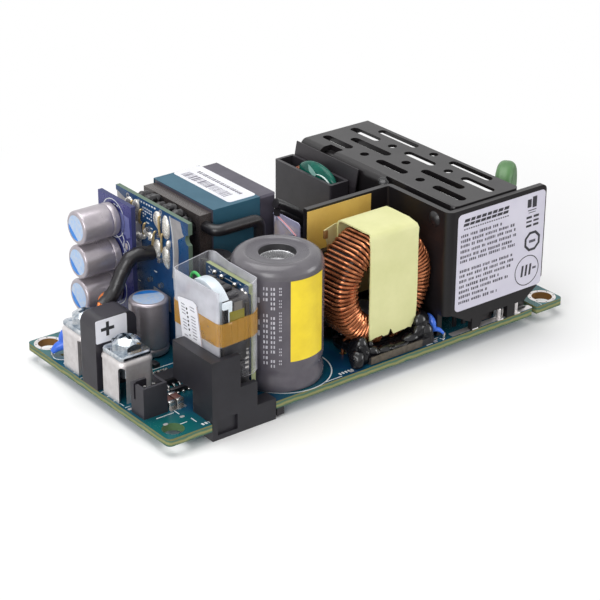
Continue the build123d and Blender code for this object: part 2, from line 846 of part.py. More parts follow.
# Rivet with a domed head on the choke's side of the heatsink
rivet_head = rivet_diameter * 0.8
rivet_dome = rivet_head * 0.45
rivet_dome_radius = (rivet_head**2 + rivet_dome**2) / (2 * rivet_dome)
rivet_plane = Plane(origin=(bracket_side_x, rivet_y, rivet_z), x_dir=(0, 1, 0), z_dir=(0, 0, 1))
with BuildPart() as rivet:
    with BuildSketch(rivet_plane):
        with BuildLine():
            Line((0, -sheet_middle), (rivet_diameter / 2, -sheet_middle))
            Line((rivet_diameter / 2, -sheet_middle), (rivet_diameter / 2, sheet_middle))
            Line((rivet_diameter / 2, sheet_middle), (rivet_head, sheet_middle))
            RadiusArc((rivet_head, sheet_middle), (0, sheet_middle + rivet_dome), -rivet_dome_radius)
            Line((0, sheet_middle + rivet_dome), (0, -sheet_middle))
        make_face()
    revolve(axis=Axis((bracket_side_x, rivet_y, rivet_z), (1, 0, 0)))
    with BuildSketch(Plane.YZ.offset(bracket_side_x + sheet_middle)):
        with Locations((rivet_y, rivet_z)):
            Circle(rivet_head * 0.8)
    extrude(amount=rivet_head * 0.3)
finish(rivet.part, "heatsink_rivet")


# Gold film between the back leg and the two parts bolted to it
back_leg_front = back_leg_y - sheet_middle
insulator_thickness = 0.15
insulator_width = 16.4
insulator_height = 25.6
insulator_bottom = 1.8
with BuildPart() as insulator:
    with BuildSketch(Plane.XZ.offset(-back_leg_front)):
        with Locations((back_leg_left + insulator_width / 2, board_top + insulator_bottom)):
            Rectangle(insulator_width, insulator_height, align=(Align.CENTER, Align.MIN))
    extrude(amount=insulator_thickness)
finish(insulator.part, "kapton_insulator")

# Plastic power packages: a metal tab, a moulded body and three legs
def power_package(name, center_x, tab_y, facing, bottom):
    """Package with its tab on the plane y = tab_y and its body on the facing side of it."""
    leads[name] = (
        [(center_x + i * leg_pitch, tab_y + facing * leg_offset) for i in (-1, 0, 1)],
        leg_width,
        leg_thickness,
    )
    with BuildPart() as package:
        with BuildSketch(Plane.XY.offset(bottom)):
            with Locations((center_x, tab_y + facing * package_thickness / 2)):
                Rectangle(package_width, package_thickness)
        extrude(amount=package_height)
        chamfer(package.faces().sort_by(Axis.Y)[0 if facing < 0 else -1].edges(), 0.5)
        with BuildSketch(Plane.XY.offset(bottom + package_height)):
            with Locations((center_x, tab_y + facing * tab_thickness / 2)):
                Rectangle(package_width, tab_thickness)
        extrude(amount=package_tab_height)
        with BuildSketch(Plane.XZ.offset(-tab_y)):
            with Locations((center_x, bottom + package_height + package_tab_height / 2)):
                Circle(1.8)
        extrude(amount=package_thickness, both=True, mode=Mode.SUBTRACT)
        extrude(lead_feet(name), amount=bottom + 1.0 - lead_end)
    return package.part


device_y = back_leg_front - insulator_thickness
boost_devices = [
    power_package("boost_transistor", back_leg_left + boost_transistor_x, device_y, -1, boost_bottom),
    power_package("boost_diode", back_leg_left + boost_diode_x, device_y, -1, boost_bottom),
]
finish_group(boost_devices, "boost_devices")
plate_rear = plate_y + sheet_middle
switches = [
    power_package("switch_1", plate_left + first_switch_x, plate_rear, 1, switch_bottom),
    power_package("switch_2", plate_left + second_switch_x, plate_rear, 1, switch_bottom),
]
finish_group(switches, "switch_transistors")

# Bridge rectifier against the inner face of the slotted heatsink's wall
bridge_length = 19.4
bridge_thickness = 3.4
bridge_height = 16.0
bridge_bottom = 5.6
bridge_pitch = 5.08
bridge_y = wall_front + 16.6
bridge_left = wall_x + heatsink_sheet
leads["bridge_rectifier"] = (
    [(bridge_left + bridge_thickness / 2, bridge_y + (i - 1.5) * bridge_pitch) for i in range(4)],
    leg_thickness,
    leg_width,
)
with BuildPart() as bridge:
    with BuildSketch(Plane.YZ.offset(bridge_left)):
        with Locations((bridge_y, bridge_bottom + bridge_height / 2)):
            Rectangle(bridge_length, bridge_height)
    extrude(amount=bridge_thickness)
    chamfer(bridge.edges().group_by(Axis.Z)[-1].sort_by(Axis.Y)[-1], 2.5)
    with BuildSketch(Plane.YZ.offset(bridge_left)):
        with Locations((bridge_y, bridge_bottom + 0.7 * bridge_height)):
            Circle(1.6)
    extrude(amount=bridge_thickness, mode=Mode.SUBTRACT)
    extrude(lead_feet("bridge_rectifier"), amount=bridge_bottom + 1.0 - lead_end)
finish(bridge.part, "bridge_rectifier")


# Insulating card between the choke cup and the slotted heatsink
card_thickness = 0.3
card_length = 21.0
card_lean = 0.8
card_rear_gap = 0.2
card_x = wall_x - 1.3
card_top = shelf_top - 0.5
with BuildPart() as card:
    with BuildSketch(Plane.XZ.offset(card_rear_gap - rear_edge)):
        with BuildLine():
            Polyline(
                (card_x, board_top),
                (card_x, card_top - 4.0),
                (card_x + card_lean, card_top),
            )
        trace(line_width=card_thickness)
    extrude(amount=card_length)
    chamfer(card.edges().filter_by(Axis.X).group_by(Axis.Z)[-1], 2 * card_thickness)
finish(card.part, "insulating_card")

# Mains choke in an open black cup
cup_x = card_x - card_thickness / 2 - seat_gap / 2 - cup_width / 2
with BuildPart() as cup:
    with BuildSketch(Plane.XY.offset(board_top)):
        with Locations((cup_x, cup_center_y)):
            RectangleRounded(cup_width, cup_length, 0.4)
    extrude(amount=cup_height)
    with BuildSketch(Plane.XY.offset(board_top + cup_floor)):
        with Locations((cup_x, cup_center_y)):
            Rectangle(cup_width - 2 * cup_wall, cup_length - 2 * cup_wall)
    extrude(amount=cup_height, mode=Mode.SUBTRACT)
finish(cup.part, "choke_cup")

cup_ring_z = board_top + cup_floor + seat_gap / 2 + cup_ring_diameter / 2
cup_ring_plane = Plane(origin=(cup_x, cup_center_y, cup_ring_z), x_dir=(0, 0, 1), z_dir=(1, 0, 0))
cup_wire = 0.55
cup_core_rim = cup_ring_diameter / 2 - cup_wire
cup_core_hole = cup_ring_hole / 2 + cup_wire
with BuildPart() as cup_core:
    with BuildSketch(cup_ring_plane):
        Circle(cup_core_rim - wire_gap)
        Circle(cup_core_hole + wire_gap, mode=Mode.SUBTRACT)
    extrude(amount=cup_ring_width / 2 - wire_gap, both=True)
    fillet(cup_core.edges().filter_by(GeomType.CIRCLE), 0.5)
finish(cup_core.part, "mains_choke_core")
with BuildPart(cup_ring_plane) as cup_winding:
    with PolarLocations(0, cup_ring_turns, start_angle=100, angular_range=160):
        add(wire_turn(cup_core_hole, cup_core_rim, cup_ring_width, cup_wire, 0.6 * cup_wire))
    with PolarLocations(0, cup_ring_turns, start_angle=-80, angular_range=160):
        add(wire_turn(cup_core_hole, cup_core_rim, cup_ring_width, cup_wire, 0.6 * cup_wire))
finish(cup_winding.part, "mains_choke_winding")


# Common-mode choke standing on edge under the slotted shelf
filter_wire = 1.0
filter_cut = 0.6 * filter_wire
filter_core_rim = mains_ring_diameter / 2 - filter_wire
filter_core_hole = mains_ring_hole / 2 + filter_wire
filter_z = board_top + seat_gap / 2 + mains_ring_diameter / 2
filter_plane = Plane(origin=(mains_ring_x, mains_ring_y, filter_z), x_dir=(1, 0, 0), z_dir=(0, -1, 0))
filter_thickness = mains_ring_width - 2 * filter_wire
with BuildPart() as filter_core:
    with BuildSketch(filter_plane):
        Circle(filter_core_rim - wire_gap)
        Circle(filter_core_hole + wire_gap, mode=Mode.SUBTRACT)
    extrude(amount=filter_thickness / 2 - wire_gap, both=True)
    fillet(filter_core.edges().filter_by(GeomType.CIRCLE), 0.8)
finish(filter_core.part, "filter_choke_core")

filter_lead_offset = 0.25 * mains_ring_diameter
filter_wire_radius = filter_core_rim + filter_wire / 2
leads["filter_winding"] = (
    [
        (mains_ring_x - filter_lead_offset, mains_ring_y),
        (mains_ring_x + filter_lead_offset, mains_ring_y),
    ],
    filter_wire,
    filter_wire,
)
with BuildPart(filter_plane) as filter_winding:
    for side_angle in (0, 180):
        with PolarLocations(0, 9, start_angle=side_angle - 61, angular_range=122, endpoint=True):
            add(wire_turn(filter_core_hole, filter_core_rim, filter_thickness, filter_wire, filter_cut))
    filter_foot_z = filter_z - sqrt(filter_wire_radius**2 - filter_lead_offset**2)
    extrude(lead_feet("filter_winding"), amount=filter_foot_z - lead_end)
finish(filter_winding.part, "filter_choke_winding")


def boxed_part(name, places, lead_x, lead_y, center, size_x, size_y, height, edge):
    """Moulded box standing on the board with its leads under it and its upper edges rounded."""
    leads[name] = (places, lead_x, lead_y)
    with BuildPart() as box:
        with BuildSketch(Plane.XY.offset(board_top)):
            with Locations(center):
                Rectangle(size_x, size_y)
        extrude(amount=height)
        fillet(box.faces().sort_by(Axis.Z)[-1].edges(), edge)
        extrude(lead_feet(name), amount=board_top - lead_end)
    finish(box.part, name)


# Film capacitors: one across the mains, one across the rectified supply
film_cap_x = cup_x - cup_width / 2 - film_cap_gap - film_cap_length / 2
line_cap_places = [(line_cap_x - 5.0, line_cap_y), (line_cap_x + 5.0, line_cap_y)]
line_cap_center = (line_cap_x, line_cap_y)
boxed_part(
    "line_capacitor", line_cap_places, 0.7, 0.7, line_cap_center,
    line_cap_length, line_cap_width, line_cap_height, 0.6,
)
film_cap_places = [(film_cap_x - 3.75, film_cap_y), (film_cap_x + 3.75, film_cap_y)]
film_cap_center = (film_cap_x, film_cap_y)
boxed_part(
    "film_capacitor", film_cap_places, 0.7, 0.7, film_cap_center,
    film_cap_length, film_cap_width, film_cap_height, 0.6,
)

# Round fuse
leads["fuse"] = ([(fuse_x - 2.54, fuse_y), (fuse_x + 2.54, fuse_y)], 0.6, 0.6)
with BuildPart() as fuse:
    with BuildSketch(Plane.XY.offset(board_top)):
        with Locations((fuse_x, fuse_y)):
            Circle(fuse_diameter / 2)
    extrude(amount=fuse_height)
    fillet(fuse.faces().sort_by(Axis.Z)[-1].edges(), 0.7)
    extrude(lead_feet("fuse"), amount=board_top - lead_end)
finish(fuse.part, "fuse")

# Mains connector: an upright friction-lock wafer with two tall pins
connector_x = right_end - connector_from_end
leads["connector_pins"] = (
    [
        (connector_x, connector_y - connector_pin_pitch / 2),
        (connector_x, connector_y + connector_pin_pitch / 2),
    ],
    connector_pin_width,
    connector_pin_width,
)
with BuildPart() as connector:
    with BuildSketch(Plane.XY.offset(board_top)):
        with Locations((connector_x, connector_y)):
            Rectangle(connector_width, connector_length)
        with Locations(*leads["connector_pins"][0]):
            Rectangle(connector_pin_width, connector_pin_width, mode=Mode.SUBTRACT)
    extrude(amount=connector_base)
    with BuildSketch(Plane.XY.offset(board_top)):
        with Locations((connector_x - (connector_width - connector_wall) / 2, connector_y)):
            Rectangle(connector_wall, 0.6 * connector_length)
    extrude(amount=connector_height)
    lock_edge = connector.faces().sort_by(Axis.Z)[-1].edges().filter_by(Axis.Y).sort_by(Axis.X)[-1]
    chamfer(lock_edge, connector_wall / 2)
finish(connector.part, "mains_connector")
with BuildPart() as connector_pins:
    extrude(lead_feet("connector_pins"), amount=board_top + connector_pin_height - lead_end)
    chamfer(connector_pins.faces().group_by(Axis.Z)[-1].edges(), connector_pin_width / 4)
finish(connector_pins.part, "mains_pins")


def disc_leads_of(name, center, turn, pitch, wire):
    """Two upright leads under a disc that is turned round Z."""
    run_x = cos(radians(turn)) * pitch / 2
    run_y = sin(radians(turn)) * pitch / 2
    leads[name] = (
        [(center[0] - run_x, center[1] - run_y), (center[0] + run_x, center[1] + run_y)],
        wire,
        wire,
    )


def disc_body(center, diameter, thickness, turn):
    """Dipped disc standing on edge, with rounded rims."""
    face = Plane(
        origin=center,
        x_dir=(cos(radians(turn)), sin(radians(turn)), 0),
        z_dir=(sin(radians(turn)), -cos(radians(turn)), 0),
    )
    with BuildPart() as disc:
        with BuildSketch(face):
            Circle(diameter / 2)
        extrude(amount=thickness / 2, both=True)
        fillet(disc.edges().filter_by(GeomType.CIRCLE), thickness * 0.4)
    return disc.part


def lead_reach(center_z, diameter, pitch, wire):
    """Length of a disc's lead, from below the board to just inside the disc."""
    return center_z - sqrt((diameter / 2) ** 2 - (pitch / 2) ** 2) + 2 * wire - lead_end


# Inrush thermistor on long leads, turned to face the corner
thermistor_center = (
    right_end - thermistor_from_end,
    thermistor_y,
    thermistor_top - thermistor_diameter / 2,
)
thermistor_pitch = 5.0
thermistor_wire = 0.7
disc_leads_of("thermistor", thermistor_center, thermistor_turn, thermistor_pitch, thermistor_wire)
thermistor_reach = lead_reach(
    thermistor_center[2], thermistor_diameter, thermistor_pitch, thermistor_wire
)
with BuildPart() as thermistor:
    add(disc_body(thermistor_center, thermistor_diameter, thermistor_thickness, thermistor_turn))
    extrude(lead_feet("thermistor"), amount=thermistor_reach, mode=Mode.SUBTRACT)
finish(thermistor.part, "thermistor")
with BuildPart() as thermistor_leads:
    extrude(lead_feet("thermistor"), amount=thermistor_reach)
finish(thermistor_leads.part, "thermistor_leads")

# Blue safety capacitors, one at the output end and one beside the rating plate
disc_cap_pitch = 4.0
disc_cap_wire = 0.6
disc_rear_center = (
    terminal_x + disc_cap_wire / 2,
    outer_leg_y + terminal_sheet / 2 + 1.3 * disc_cap_thickness,
    board_top + disc_cap_diameter / 2 + disc_cap_wire,
)
disc_front_center = (
    plate_left - ring_gap - seat_gap / 2 - disc_cap_thickness / 2,
    front_edge + heatsink_sheet + disc_cap_diameter / 2 - 4 * seat_gap,
    board_top + disc_cap_diameter / 2 + ring_base_height + seat_gap,
)
disc_parts = []
for name, center, turn in (
    ("disc_rear", disc_rear_center, -15.0),
    ("disc_front", disc_front_center, 90.0),
):
    disc_leads_of(name, center, turn, disc_cap_pitch, disc_cap_wire)
    disc_reach = lead_reach(center[2], disc_cap_diameter, disc_cap_pitch, disc_cap_wire)
    with BuildPart() as disc_cap:
        add(disc_body(center, disc_cap_diameter, disc_cap_thickness, turn))
        extrude(lead_feet(name), amount=disc_reach)
    disc_parts.append(disc_cap.part)
finish_group(disc_parts, "disc_capacitors")


# Main transformer: two ferrite halves closed round a taped winding, on a plastic bobbin
core_split = 0.02
core_x = core_left + core_length / 2
window_height = core_height - 2 * core_wall
core_halves = []
for side in (-1, 1):
    with BuildPart() as core_half:
        with BuildSketch(Plane.YZ.offset(core_left)):
            with Locations((core_y + side * (core_width / 4 + core_split), middle_z)):
                Rectangle(core_width / 2, core_height)
        extrude(amount=core_length)
        core_edges = core_half.faces().sort_by(Axis.Y)[0 if side < 0 else -1].edges()
        chamfer(core_edges, 0.4)
        # The winding window leaves an upper leg, a lower leg and the middle one.
        with BuildSketch(Plane.YZ.offset(core_left)):
            for level in (-1, 1):
                window_z = middle_z + level * (core_center_leg + window_height) / 4
                with Locations((core_y, window_z)):
                    Rectangle(core_width - 2 * core_wall, (window_height - core_center_leg) / 2)
        extrude(amount=core_length, mode=Mode.SUBTRACT)
    core_halves.append(core_half.part)
finish_group(core_halves, "transformer_core")

# Bobbin: a tube on the middle leg with two flanges, a frame at the output side and a foot
tube_wall = 0.8
flange_thickness = 0.9
tube_length = core_width - 2 * core_wall - 2 * seat_gap
rail_thickness = 2.8
rail_width = core_width - 1.0
rail_top = core_top - 0.6
rail_left = core_left - seat_gap - rail_thickness
coil_build = (window_height - core_center_leg) / 2 - tube_wall - 2 * seat_gap
coil_half_height = core_center_leg / 2 + tube_wall + coil_build
coil_right = core_left + core_length + coil_overhang_right
flange_right = core_left + core_length + 0.8
with BuildPart() as bobbin:
    with BuildSketch(Plane.XZ.offset(-core_y - tube_length / 2)):
        with Locations((core_x, middle_z)):
            Rectangle(core_length + 2 * tube_wall + 2 * seat_gap, core_center_leg + 2 * tube_wall)
            Rectangle(core_length + 2 * seat_gap, core_center_leg + seat_gap, mode=Mode.SUBTRACT)
    extrude(amount=tube_length)
    for side in (-1, 1):
        flange_y = core_y + side * (tube_length - flange_thickness) / 2
        with BuildSketch(Plane.XZ.offset(-flange_y)):
            with Locations(((rail_left + flange_right) / 2, middle_z)):
                Rectangle(flange_right - rail_left, 2 * coil_half_height)
            with Locations((core_x, middle_z)):
                Rectangle(core_length + 2 * seat_gap, core_center_leg + seat_gap, mode=Mode.SUBTRACT)
        extrude(amount=flange_thickness / 2, both=True)
    with BuildSketch(Plane.YZ.offset(rail_left)):
        with Locations((core_y, (board_top + rail_top) / 2)):
            Rectangle(rail_width, rail_top - board_top)
        with Locations((core_y, middle_z)):
            Rectangle(
                tube_length - 2 * flange_thickness,
                2 * coil_half_height + 2 * seat_gap,
                mode=Mode.SUBTRACT,
            )
    extrude(amount=rail_thickness)
    with BuildSketch(Plane.XY.offset(board_top)):
        with Locations(((rail_left + flange_right) / 2, core_y)):
            Rectangle(flange_right - rail_left, rail_width)
    extrude(amount=bobbin_height - seat_gap)
finish(bobbin.part, "transformer_bobbin")

# Flat output pins run from inside the winding through the rectifier board
pin_places = [(column, row) for row in pin_rows for column in pin_columns]
pin_start = coil_left + 3.0
with BuildPart() as pins:
    with BuildSketch(Plane.YZ.offset(pin_start)):
        with Locations(*pin_places):
            Rectangle(bobbin_pin_width, bobbin_pin_width)
    extrude(amount=sync_x - 0.8 - pin_start)
finish(pins.part, "transformer_pins")

coil_length = tube_length - 2 * flange_thickness - 2 * seat_gap
with BuildPart() as coil:
    with BuildSketch(Plane.XZ.offset(-core_y - coil_length / 2)) as coil_section:
        with Locations(((coil_left + coil_right) / 2, middle_z)):
            RectangleRounded(coil_right - coil_left, 2 * coil_half_height, 3.0)
        with Locations((core_x, middle_z)):
            Rectangle(
                core_length + 2 * tube_wall + 4 * seat_gap,
                core_center_leg + 2 * tube_wall + 2 * seat_gap,
                mode=Mode.SUBTRACT,
            )
    extrude(amount=coil_length)
    with BuildSketch(Plane.YZ.offset(pin_start)):
        with Locations(*pin_places):
            Rectangle(bobbin_pin_width, bobbin_pin_width)
    extrude(amount=coil_left - 1.0 - pin_start, mode=Mode.SUBTRACT)
finish(coil.part, "transformer_winding")

# Tape round the core, over its front, top and rear
tape_middle = core_tape_thickness / 2
with BuildPart() as core_tape:
    with BuildSketch(Plane.YZ.offset(core_left)):
        with BuildLine():
            Polyline(
                (core_y - core_width / 2 - core_split - tape_middle, core_bottom),
                (core_y - core_width / 2 - core_split - tape_middle, core_top + tape_middle),
                (core_y + core_width / 2 + core_split + tape_middle, core_top + tape_middle),
                (core_y + core_width / 2 + core_split + tape_middle, core_bottom),
            )
        trace(line_width=core_tape_thickness)
    extrude(amount=core_tape_length)
finish(core_tape.part, "transformer_tape")

# Sleeved primary lead, looped from the bobbin's frame down to the board
primary_y = core_y - core_width / 2 - 2.9
primary_start_x = rail_left + rail_thickness / 2
primary_end_x = primary_start_x + 10.8
primary_z = core_top - 3.2
with BuildPart() as primary_lead:
    with BuildLine() as primary_path:
        FilletPolyline(
            (primary_start_x, core_y - rail_width / 2, primary_z),
            (primary_start_x, primary_y, primary_z),
            (primary_end_x, primary_y, primary_z),
            (primary_end_x, primary_y, board_top),
            radius=1.7,
        )
    with BuildSketch(Plane(origin=primary_path.line @ 0, z_dir=primary_path.line % 0)):
        Circle(primary_lead_diameter / 2)
    sweep(path=primary_path.line)
    leads["primary_lead"] = ([(primary_end_x, primary_y)], 0.9, 0.9)
    extrude(lead_feet("primary_lead"), amount=board_top + 0.5 - lead_end)
finish(primary_lead.part, "primary_lead")

# Small inductor in a black sleeve
leads["sleeved_inductor"] = (
    [(inductor_x, inductor_y - 1.5), (inductor_x, inductor_y + 1.5)],
    0.7,
    0.7,
)
with BuildPart() as inductor:
    with BuildSketch(Plane.XY.offset(board_top)):
        with Locations((inductor_x, inductor_y)):
            Circle(inductor_diameter / 2)
    extrude(amount=inductor_height)
    fillet(inductor.faces().sort_by(Axis.Z)[-1].edges(), 0.8)
    extrude(lead_feet("sleeved_inductor"), amount=board_top - lead_end)
finish(inductor.part, "sleeved_inductor")

# Clear sheet that stands between the transformer and the front heatsink
clear_sheet_thickness = 0.2
clear_sheet_height = 24.4
clear_sheet_x = core_left + core_length - 1.1
clear_sheet_front = back_leg_y + sheet_middle + 2 * clear_sheet_thickness
clear_sheet_rear = core_front - 4 * clear_sheet_thickness
with BuildPart() as clear_sheet:
    with BuildSketch(Plane.YZ.offset(clear_sheet_x)):
        with Locations((clear_sheet_front, board_top)):
            clear_sheet_width = clear_sheet_rear - clear_sheet_front
            Rectangle(clear_sheet_width, clear_sheet_height, align=(Align.MIN, Align.MIN))
    extrude(amount=clear_sheet_thickness)
    fillet(clear_sheet.edges().filter_by(Axis.X).group_by(Axis.Z)[-1], 4 * clear_sheet_thickness)
finish(clear_sheet.part, "clear_sheet")


# Output lead: copper wire in a black sleeve, from the rectifier board to the rear terminal
wire_x = terminal_x + terminal_width / 2 + output_sleeve_diameter / 2 - 0.3
wire_y = cap_board_y - cap_board_width / 2 - output_sleeve_diameter / 2 - 0.2
leads["output_wire"] = ([(wire_x, wire_y)], 1.0, 1.0)
wire_points = [
    (sync_x, wire_y, 20.5),
    (cap_board_x - 1.0, wire_y, 20.5),
    (cap_board_x - 5.6, wire_y, 14.3),
    (wire_x, wire_y, 12.4),
    (wire_x, wire_y, board_top),
]
with BuildPart() as output_wire:
    with BuildLine() as wire_path:
        FilletPolyline(*wire_points, radius=output_sleeve_diameter / 2 + 0.2)
    with BuildSketch(Plane(origin=wire_path.line @ 0, z_dir=wire_path.line % 0)):
        Circle(output_wire_diameter / 2)
    sweep(path=wire_path.line)
    extrude(lead_feet("output_wire"), amount=board_top + 1.0 - lead_end)
finish(output_wire.part, "output_wire")
sleeve_end = tuple(0.3 * a + 0.7 * b for a, b in zip(wire_points[2], wire_points[3]))
with BuildPart() as output_sleeve:
    with BuildLine() as sleeve_path:
        sleeve_start = (sync_x - 1.2, wire_y, wire_points[0][2])
        sleeve_points = [sleeve_start, *wire_points[1:3], sleeve_end]
        FilletPolyline(*sleeve_points, radius=output_sleeve_diameter / 2 + 0.2)
    with BuildSketch(Plane(origin=sleeve_path.line @ 0, z_dir=sleeve_path.line % 0)):
        Circle(output_sleeve_diameter / 2)
        Circle(output_wire_diameter / 2 + wire_gap, mode=Mode.SUBTRACT)
    sweep(path=sleeve_path.line)
finish(output_sleeve.part, "output_sleeve")


# Auxiliary supply: its carrier hangs over the front edge of the main board
carrier_right = carrier_left + carrier_length
tall_right = carrier_left + carrier_tall_length
middle_right = tall_right + carrier_middle_length
pocket_floor = board_top + 4.6
pocket_left = carrier_left + carrier_side_wall
with BuildPart() as carrier:
    with BuildSketch(Plane.XZ.offset(-front_edge - carrier_keel_depth)):
        with Locations((carrier_left, lead_end)):
            Rectangle(carrier_length, carrier_low_top - lead_end, align=(Align.MIN, Align.MIN))
    extrude(amount=carrier_keel_depth)
    with BuildSketch(Plane.XZ.offset(-front_edge - carrier_depth)):
        with Locations((carrier_left, pocket_floor)):
            tall_height = carrier_tall_top - pocket_floor
            Rectangle(carrier_tall_length, tall_height, align=(Align.MIN, Align.MIN))
    extrude(amount=carrier_depth)
    with BuildSketch(Plane.XZ.offset(-front_edge - carrier_depth / 2)):
        with Locations((carrier_left, board_top)):
            lower_height = pocket_floor - board_top
            Rectangle(carrier_tall_length, lower_height, align=(Align.MIN, Align.MIN))
            Rectangle(
                carrier_tall_length + carrier_middle_length,
                carrier_middle_top - board_top,
                align=(Align.MIN, Align.MIN),
            )
    extrude(amount=carrier_depth / 2)
    # Pocket for the small transformer, open at the top, at the rear and to the right
    with BuildSketch(Plane.XY.offset(pocket_floor)):
        with Locations((pocket_left, front_edge + carrier_wall)):
            Rectangle(carrier_length, 2 * carrier_depth, align=(Align.MIN, Align.MIN))
    extrude(amount=carrier_tall_top, mode=Mode.SUBTRACT)
    # Shallow recess low in the front face
    with BuildSketch(Plane.XZ.offset(-front_edge)):
        with Locations((carrier_left + carrier_wall, -carrier_wall)):
            Rectangle(4.6, 3.2, align=(Align.MIN, Align.MIN))
    extrude(amount=-carrier_wall / 2, mode=Mode.SUBTRACT)
finish(carrier.part, "aux_carrier")

aux_board_front = front_edge + carrier_keel_depth + 0.6
aux_board_rear = aux_board_front + aux_board_width
leads["aux_board"] = (
    [(aux_board_x + daughter_thickness / 2, (aux_board_front + aux_board_rear) / 2)],
    daughter_thickness,
    tongue_width,
)
with BuildPart() as aux_board:
    with BuildSketch(Plane.YZ.offset(aux_board_x)):
        with Locations((aux_board_front, board_top)):
            aux_board_height = aux_board_top - board_top
            Rectangle(aux_board_width, aux_board_height, align=(Align.MIN, Align.MIN))
        with Locations((aux_board_front, aux_board_top)):
            Rectangle(1.4, 3.0, mode=Mode.SUBTRACT)
    extrude(amount=daughter_thickness)
    extrude(lead_feet("aux_board"), amount=board_top - lead_end)
finish(aux_board.part, "aux_board")

# Small transformer of the auxiliary supply
aux_core_x = aux_board_x - 4.1
aux_core_y = front_edge + carrier_wall + 1.3 + aux_core_width / 2
aux_core_bottom = pocket_floor + 5.0
aux_core_z = aux_core_bottom + aux_core_height / 2
aux_leg = 2.2
aux_coil_length = aux_core_width - 2 * aux_leg - 4 * seat_gap
aux_coil_height = (aux_core_height + aux_leg) / 2 - 2 * seat_gap
with BuildPart() as aux_core:
    with BuildSketch(Plane.YZ.offset(aux_core_x - aux_core_length / 2)):
        with Locations((aux_core_y, aux_core_z)):
            RectangleRounded(aux_core_width, aux_core_height, 0.6)
            Rectangle(aux_core_width - 2 * aux_leg, aux_core_height - 2 * aux_leg, mode=Mode.SUBTRACT)
            Rectangle(aux_core_width, aux_leg)
    extrude(amount=aux_core_length)
finish(aux_core.part, "aux_core")
with BuildPart() as aux_coil:
    with BuildSketch(Plane.XZ.offset(-aux_core_y - aux_coil_length / 2)):
        with Locations((aux_core_x, aux_core_z)):
            RectangleRounded(aux_core_length + 2.0, aux_core_height - 2 * aux_leg - 2 * seat_gap, 1.0)
            Rectangle(aux_core_length + 2 * seat_gap, aux_leg + 2 * seat_gap, mode=Mode.SUBTRACT)
    extrude(amount=aux_coil_length)
finish(aux_coil.part, "aux_winding")
with BuildPart() as aux_bobbin:
    with BuildSketch(Plane.XY.offset(pocket_floor)):
        with Locations((aux_core_x, aux_core_y)):
            RectangleRounded(aux_core_length + 0.6, aux_core_width - 0.4, 0.4)
    extrude(amount=aux_core_bottom - pocket_floor)
    with BuildSketch(Plane.YZ.offset(aux_core_x + aux_core_length / 2 + 0.3)):
        with Locations((aux_core_y, pocket_floor + 0.6)):
            Rectangle(aux_core_width - 3.0, 0.8)
    extrude(amount=aux_board_x - aux_core_x - aux_core_length / 2 - 0.3)
finish(aux_bobbin.part, "aux_bobbin")

# Control chip on the auxiliary board, with four legs on each side
chip_y = aux_board_front + 5.2
chip_z = board_top + 8.4
with BuildPart() as aux_chip:
    with BuildSketch(Plane.YZ.offset(aux_board_x)):
        with Locations((chip_y, chip_z)):
            Rectangle(3.6, 4.6)
    extrude(amount=-1.2)
    chamfer(aux_chip.faces().sort_by(Axis.X)[0].edges(), 0.3)
    with BuildSketch(Plane.YZ.offset(aux_board_x)):
        with Locations((chip_y, chip_z)):
            with GridLocations(0, 1.2, 1, 4):
                Rectangle(5.6, 0.45)
    extrude(amount=-0.35)
finish(aux_chip.part, "aux_controller")

# Clear sleeve round the auxiliary board and its transformer, held by a band of tape
film_right = aux_board_x + daughter_thickness + seat_gap + film_thickness
film_left = pocket_left + 0.4
film_points = [
    (film_left, aux_board_rear - 1.6),
    (film_right + 1.0, aux_board_rear + 1.1),
    (film_right, bulk_y + bulk_radius / 3),
    (film_right, aux_board_front - 0.4),
    (film_right - 2.0, front_edge + carrier_wall + 0.9),
    (film_left, front_edge + carrier_wall + 0.3),
]
with BuildPart() as film:
    with BuildSketch(Plane.XY.offset(board_top + film_bottom)):
        with BuildLine() as film_outline:
            FilletPolyline(*film_points, radius=1.2, close=True)
        make_face()
        offset(amount=-film_thickness, mode=Mode.SUBTRACT)
    extrude(amount=film_top - board_top - film_bottom)
finish(film.part, "aux_film")
with BuildPart() as band:
    with BuildSketch(Plane.XY.offset(board_top + band_bottom)):
        with BuildLine():
            FilletPolyline(*film_points, radius=1.2, close=True)
        make_face()
        offset(amount=band_thickness)
        with BuildLine():
            FilletPolyline(*film_points, radius=1.2, close=True)
        make_face(mode=Mode.SUBTRACT)
    extrude(amount=band_width)
finish(band.part, "aux_tape_band")


# Small parts on the main board
def leaded_chip(name, center, size_x, size_y, height, leg_places, leg_x, leg_y):
    """Flat moulded package with its legs lying on the board."""
    with BuildPart() as chip:
        with BuildSketch(Plane.XY.offset(board_top)):
            with Locations(center):
                Rectangle(size_x, size_y)
        extrude(amount=height)
        chamfer(chip.faces().sort_by(Axis.Z)[-1].edges(), height * 0.2)
        with BuildSketch(Plane.XY.offset(board_top)):
            with Locations(*leg_places):
                Rectangle(leg_x, leg_y)
        extrude(amount=height * 0.3)
    finish(chip.part, name)


driver_x = carrier_left + 3.4
driver_y = front_edge + carrier_depth + 6.8
driver_legs = [(driver_x + (i - 1.5) * 1.27, driver_y) for i in range(4)]
leaded_chip("driver_chip", (driver_x, driver_y), 4.9, 3.9, 1.5, driver_legs, 0.45, 6.0)
opto_legs = [(opto_x + i * 1.27, opto_y) for i in (-1, 1)]
leaded_chip("optocoupler", (opto_x, opto_y), 4.6, 6.4, 3.4, opto_legs, 0.6, 9.4)

header_right = header_x + header_length / 2
with BuildPart() as chip_capacitors:
    with BuildSketch(Plane.XY.offset(board_top)):
        with Locations((header_right + 1.4, header_center_y), (header_right + 3.3, header_center_y)):
            Rectangle(1.6, 3.6)
    extrude(amount=1.6)
finish(chip_capacitors.part, "chip_capacitors")

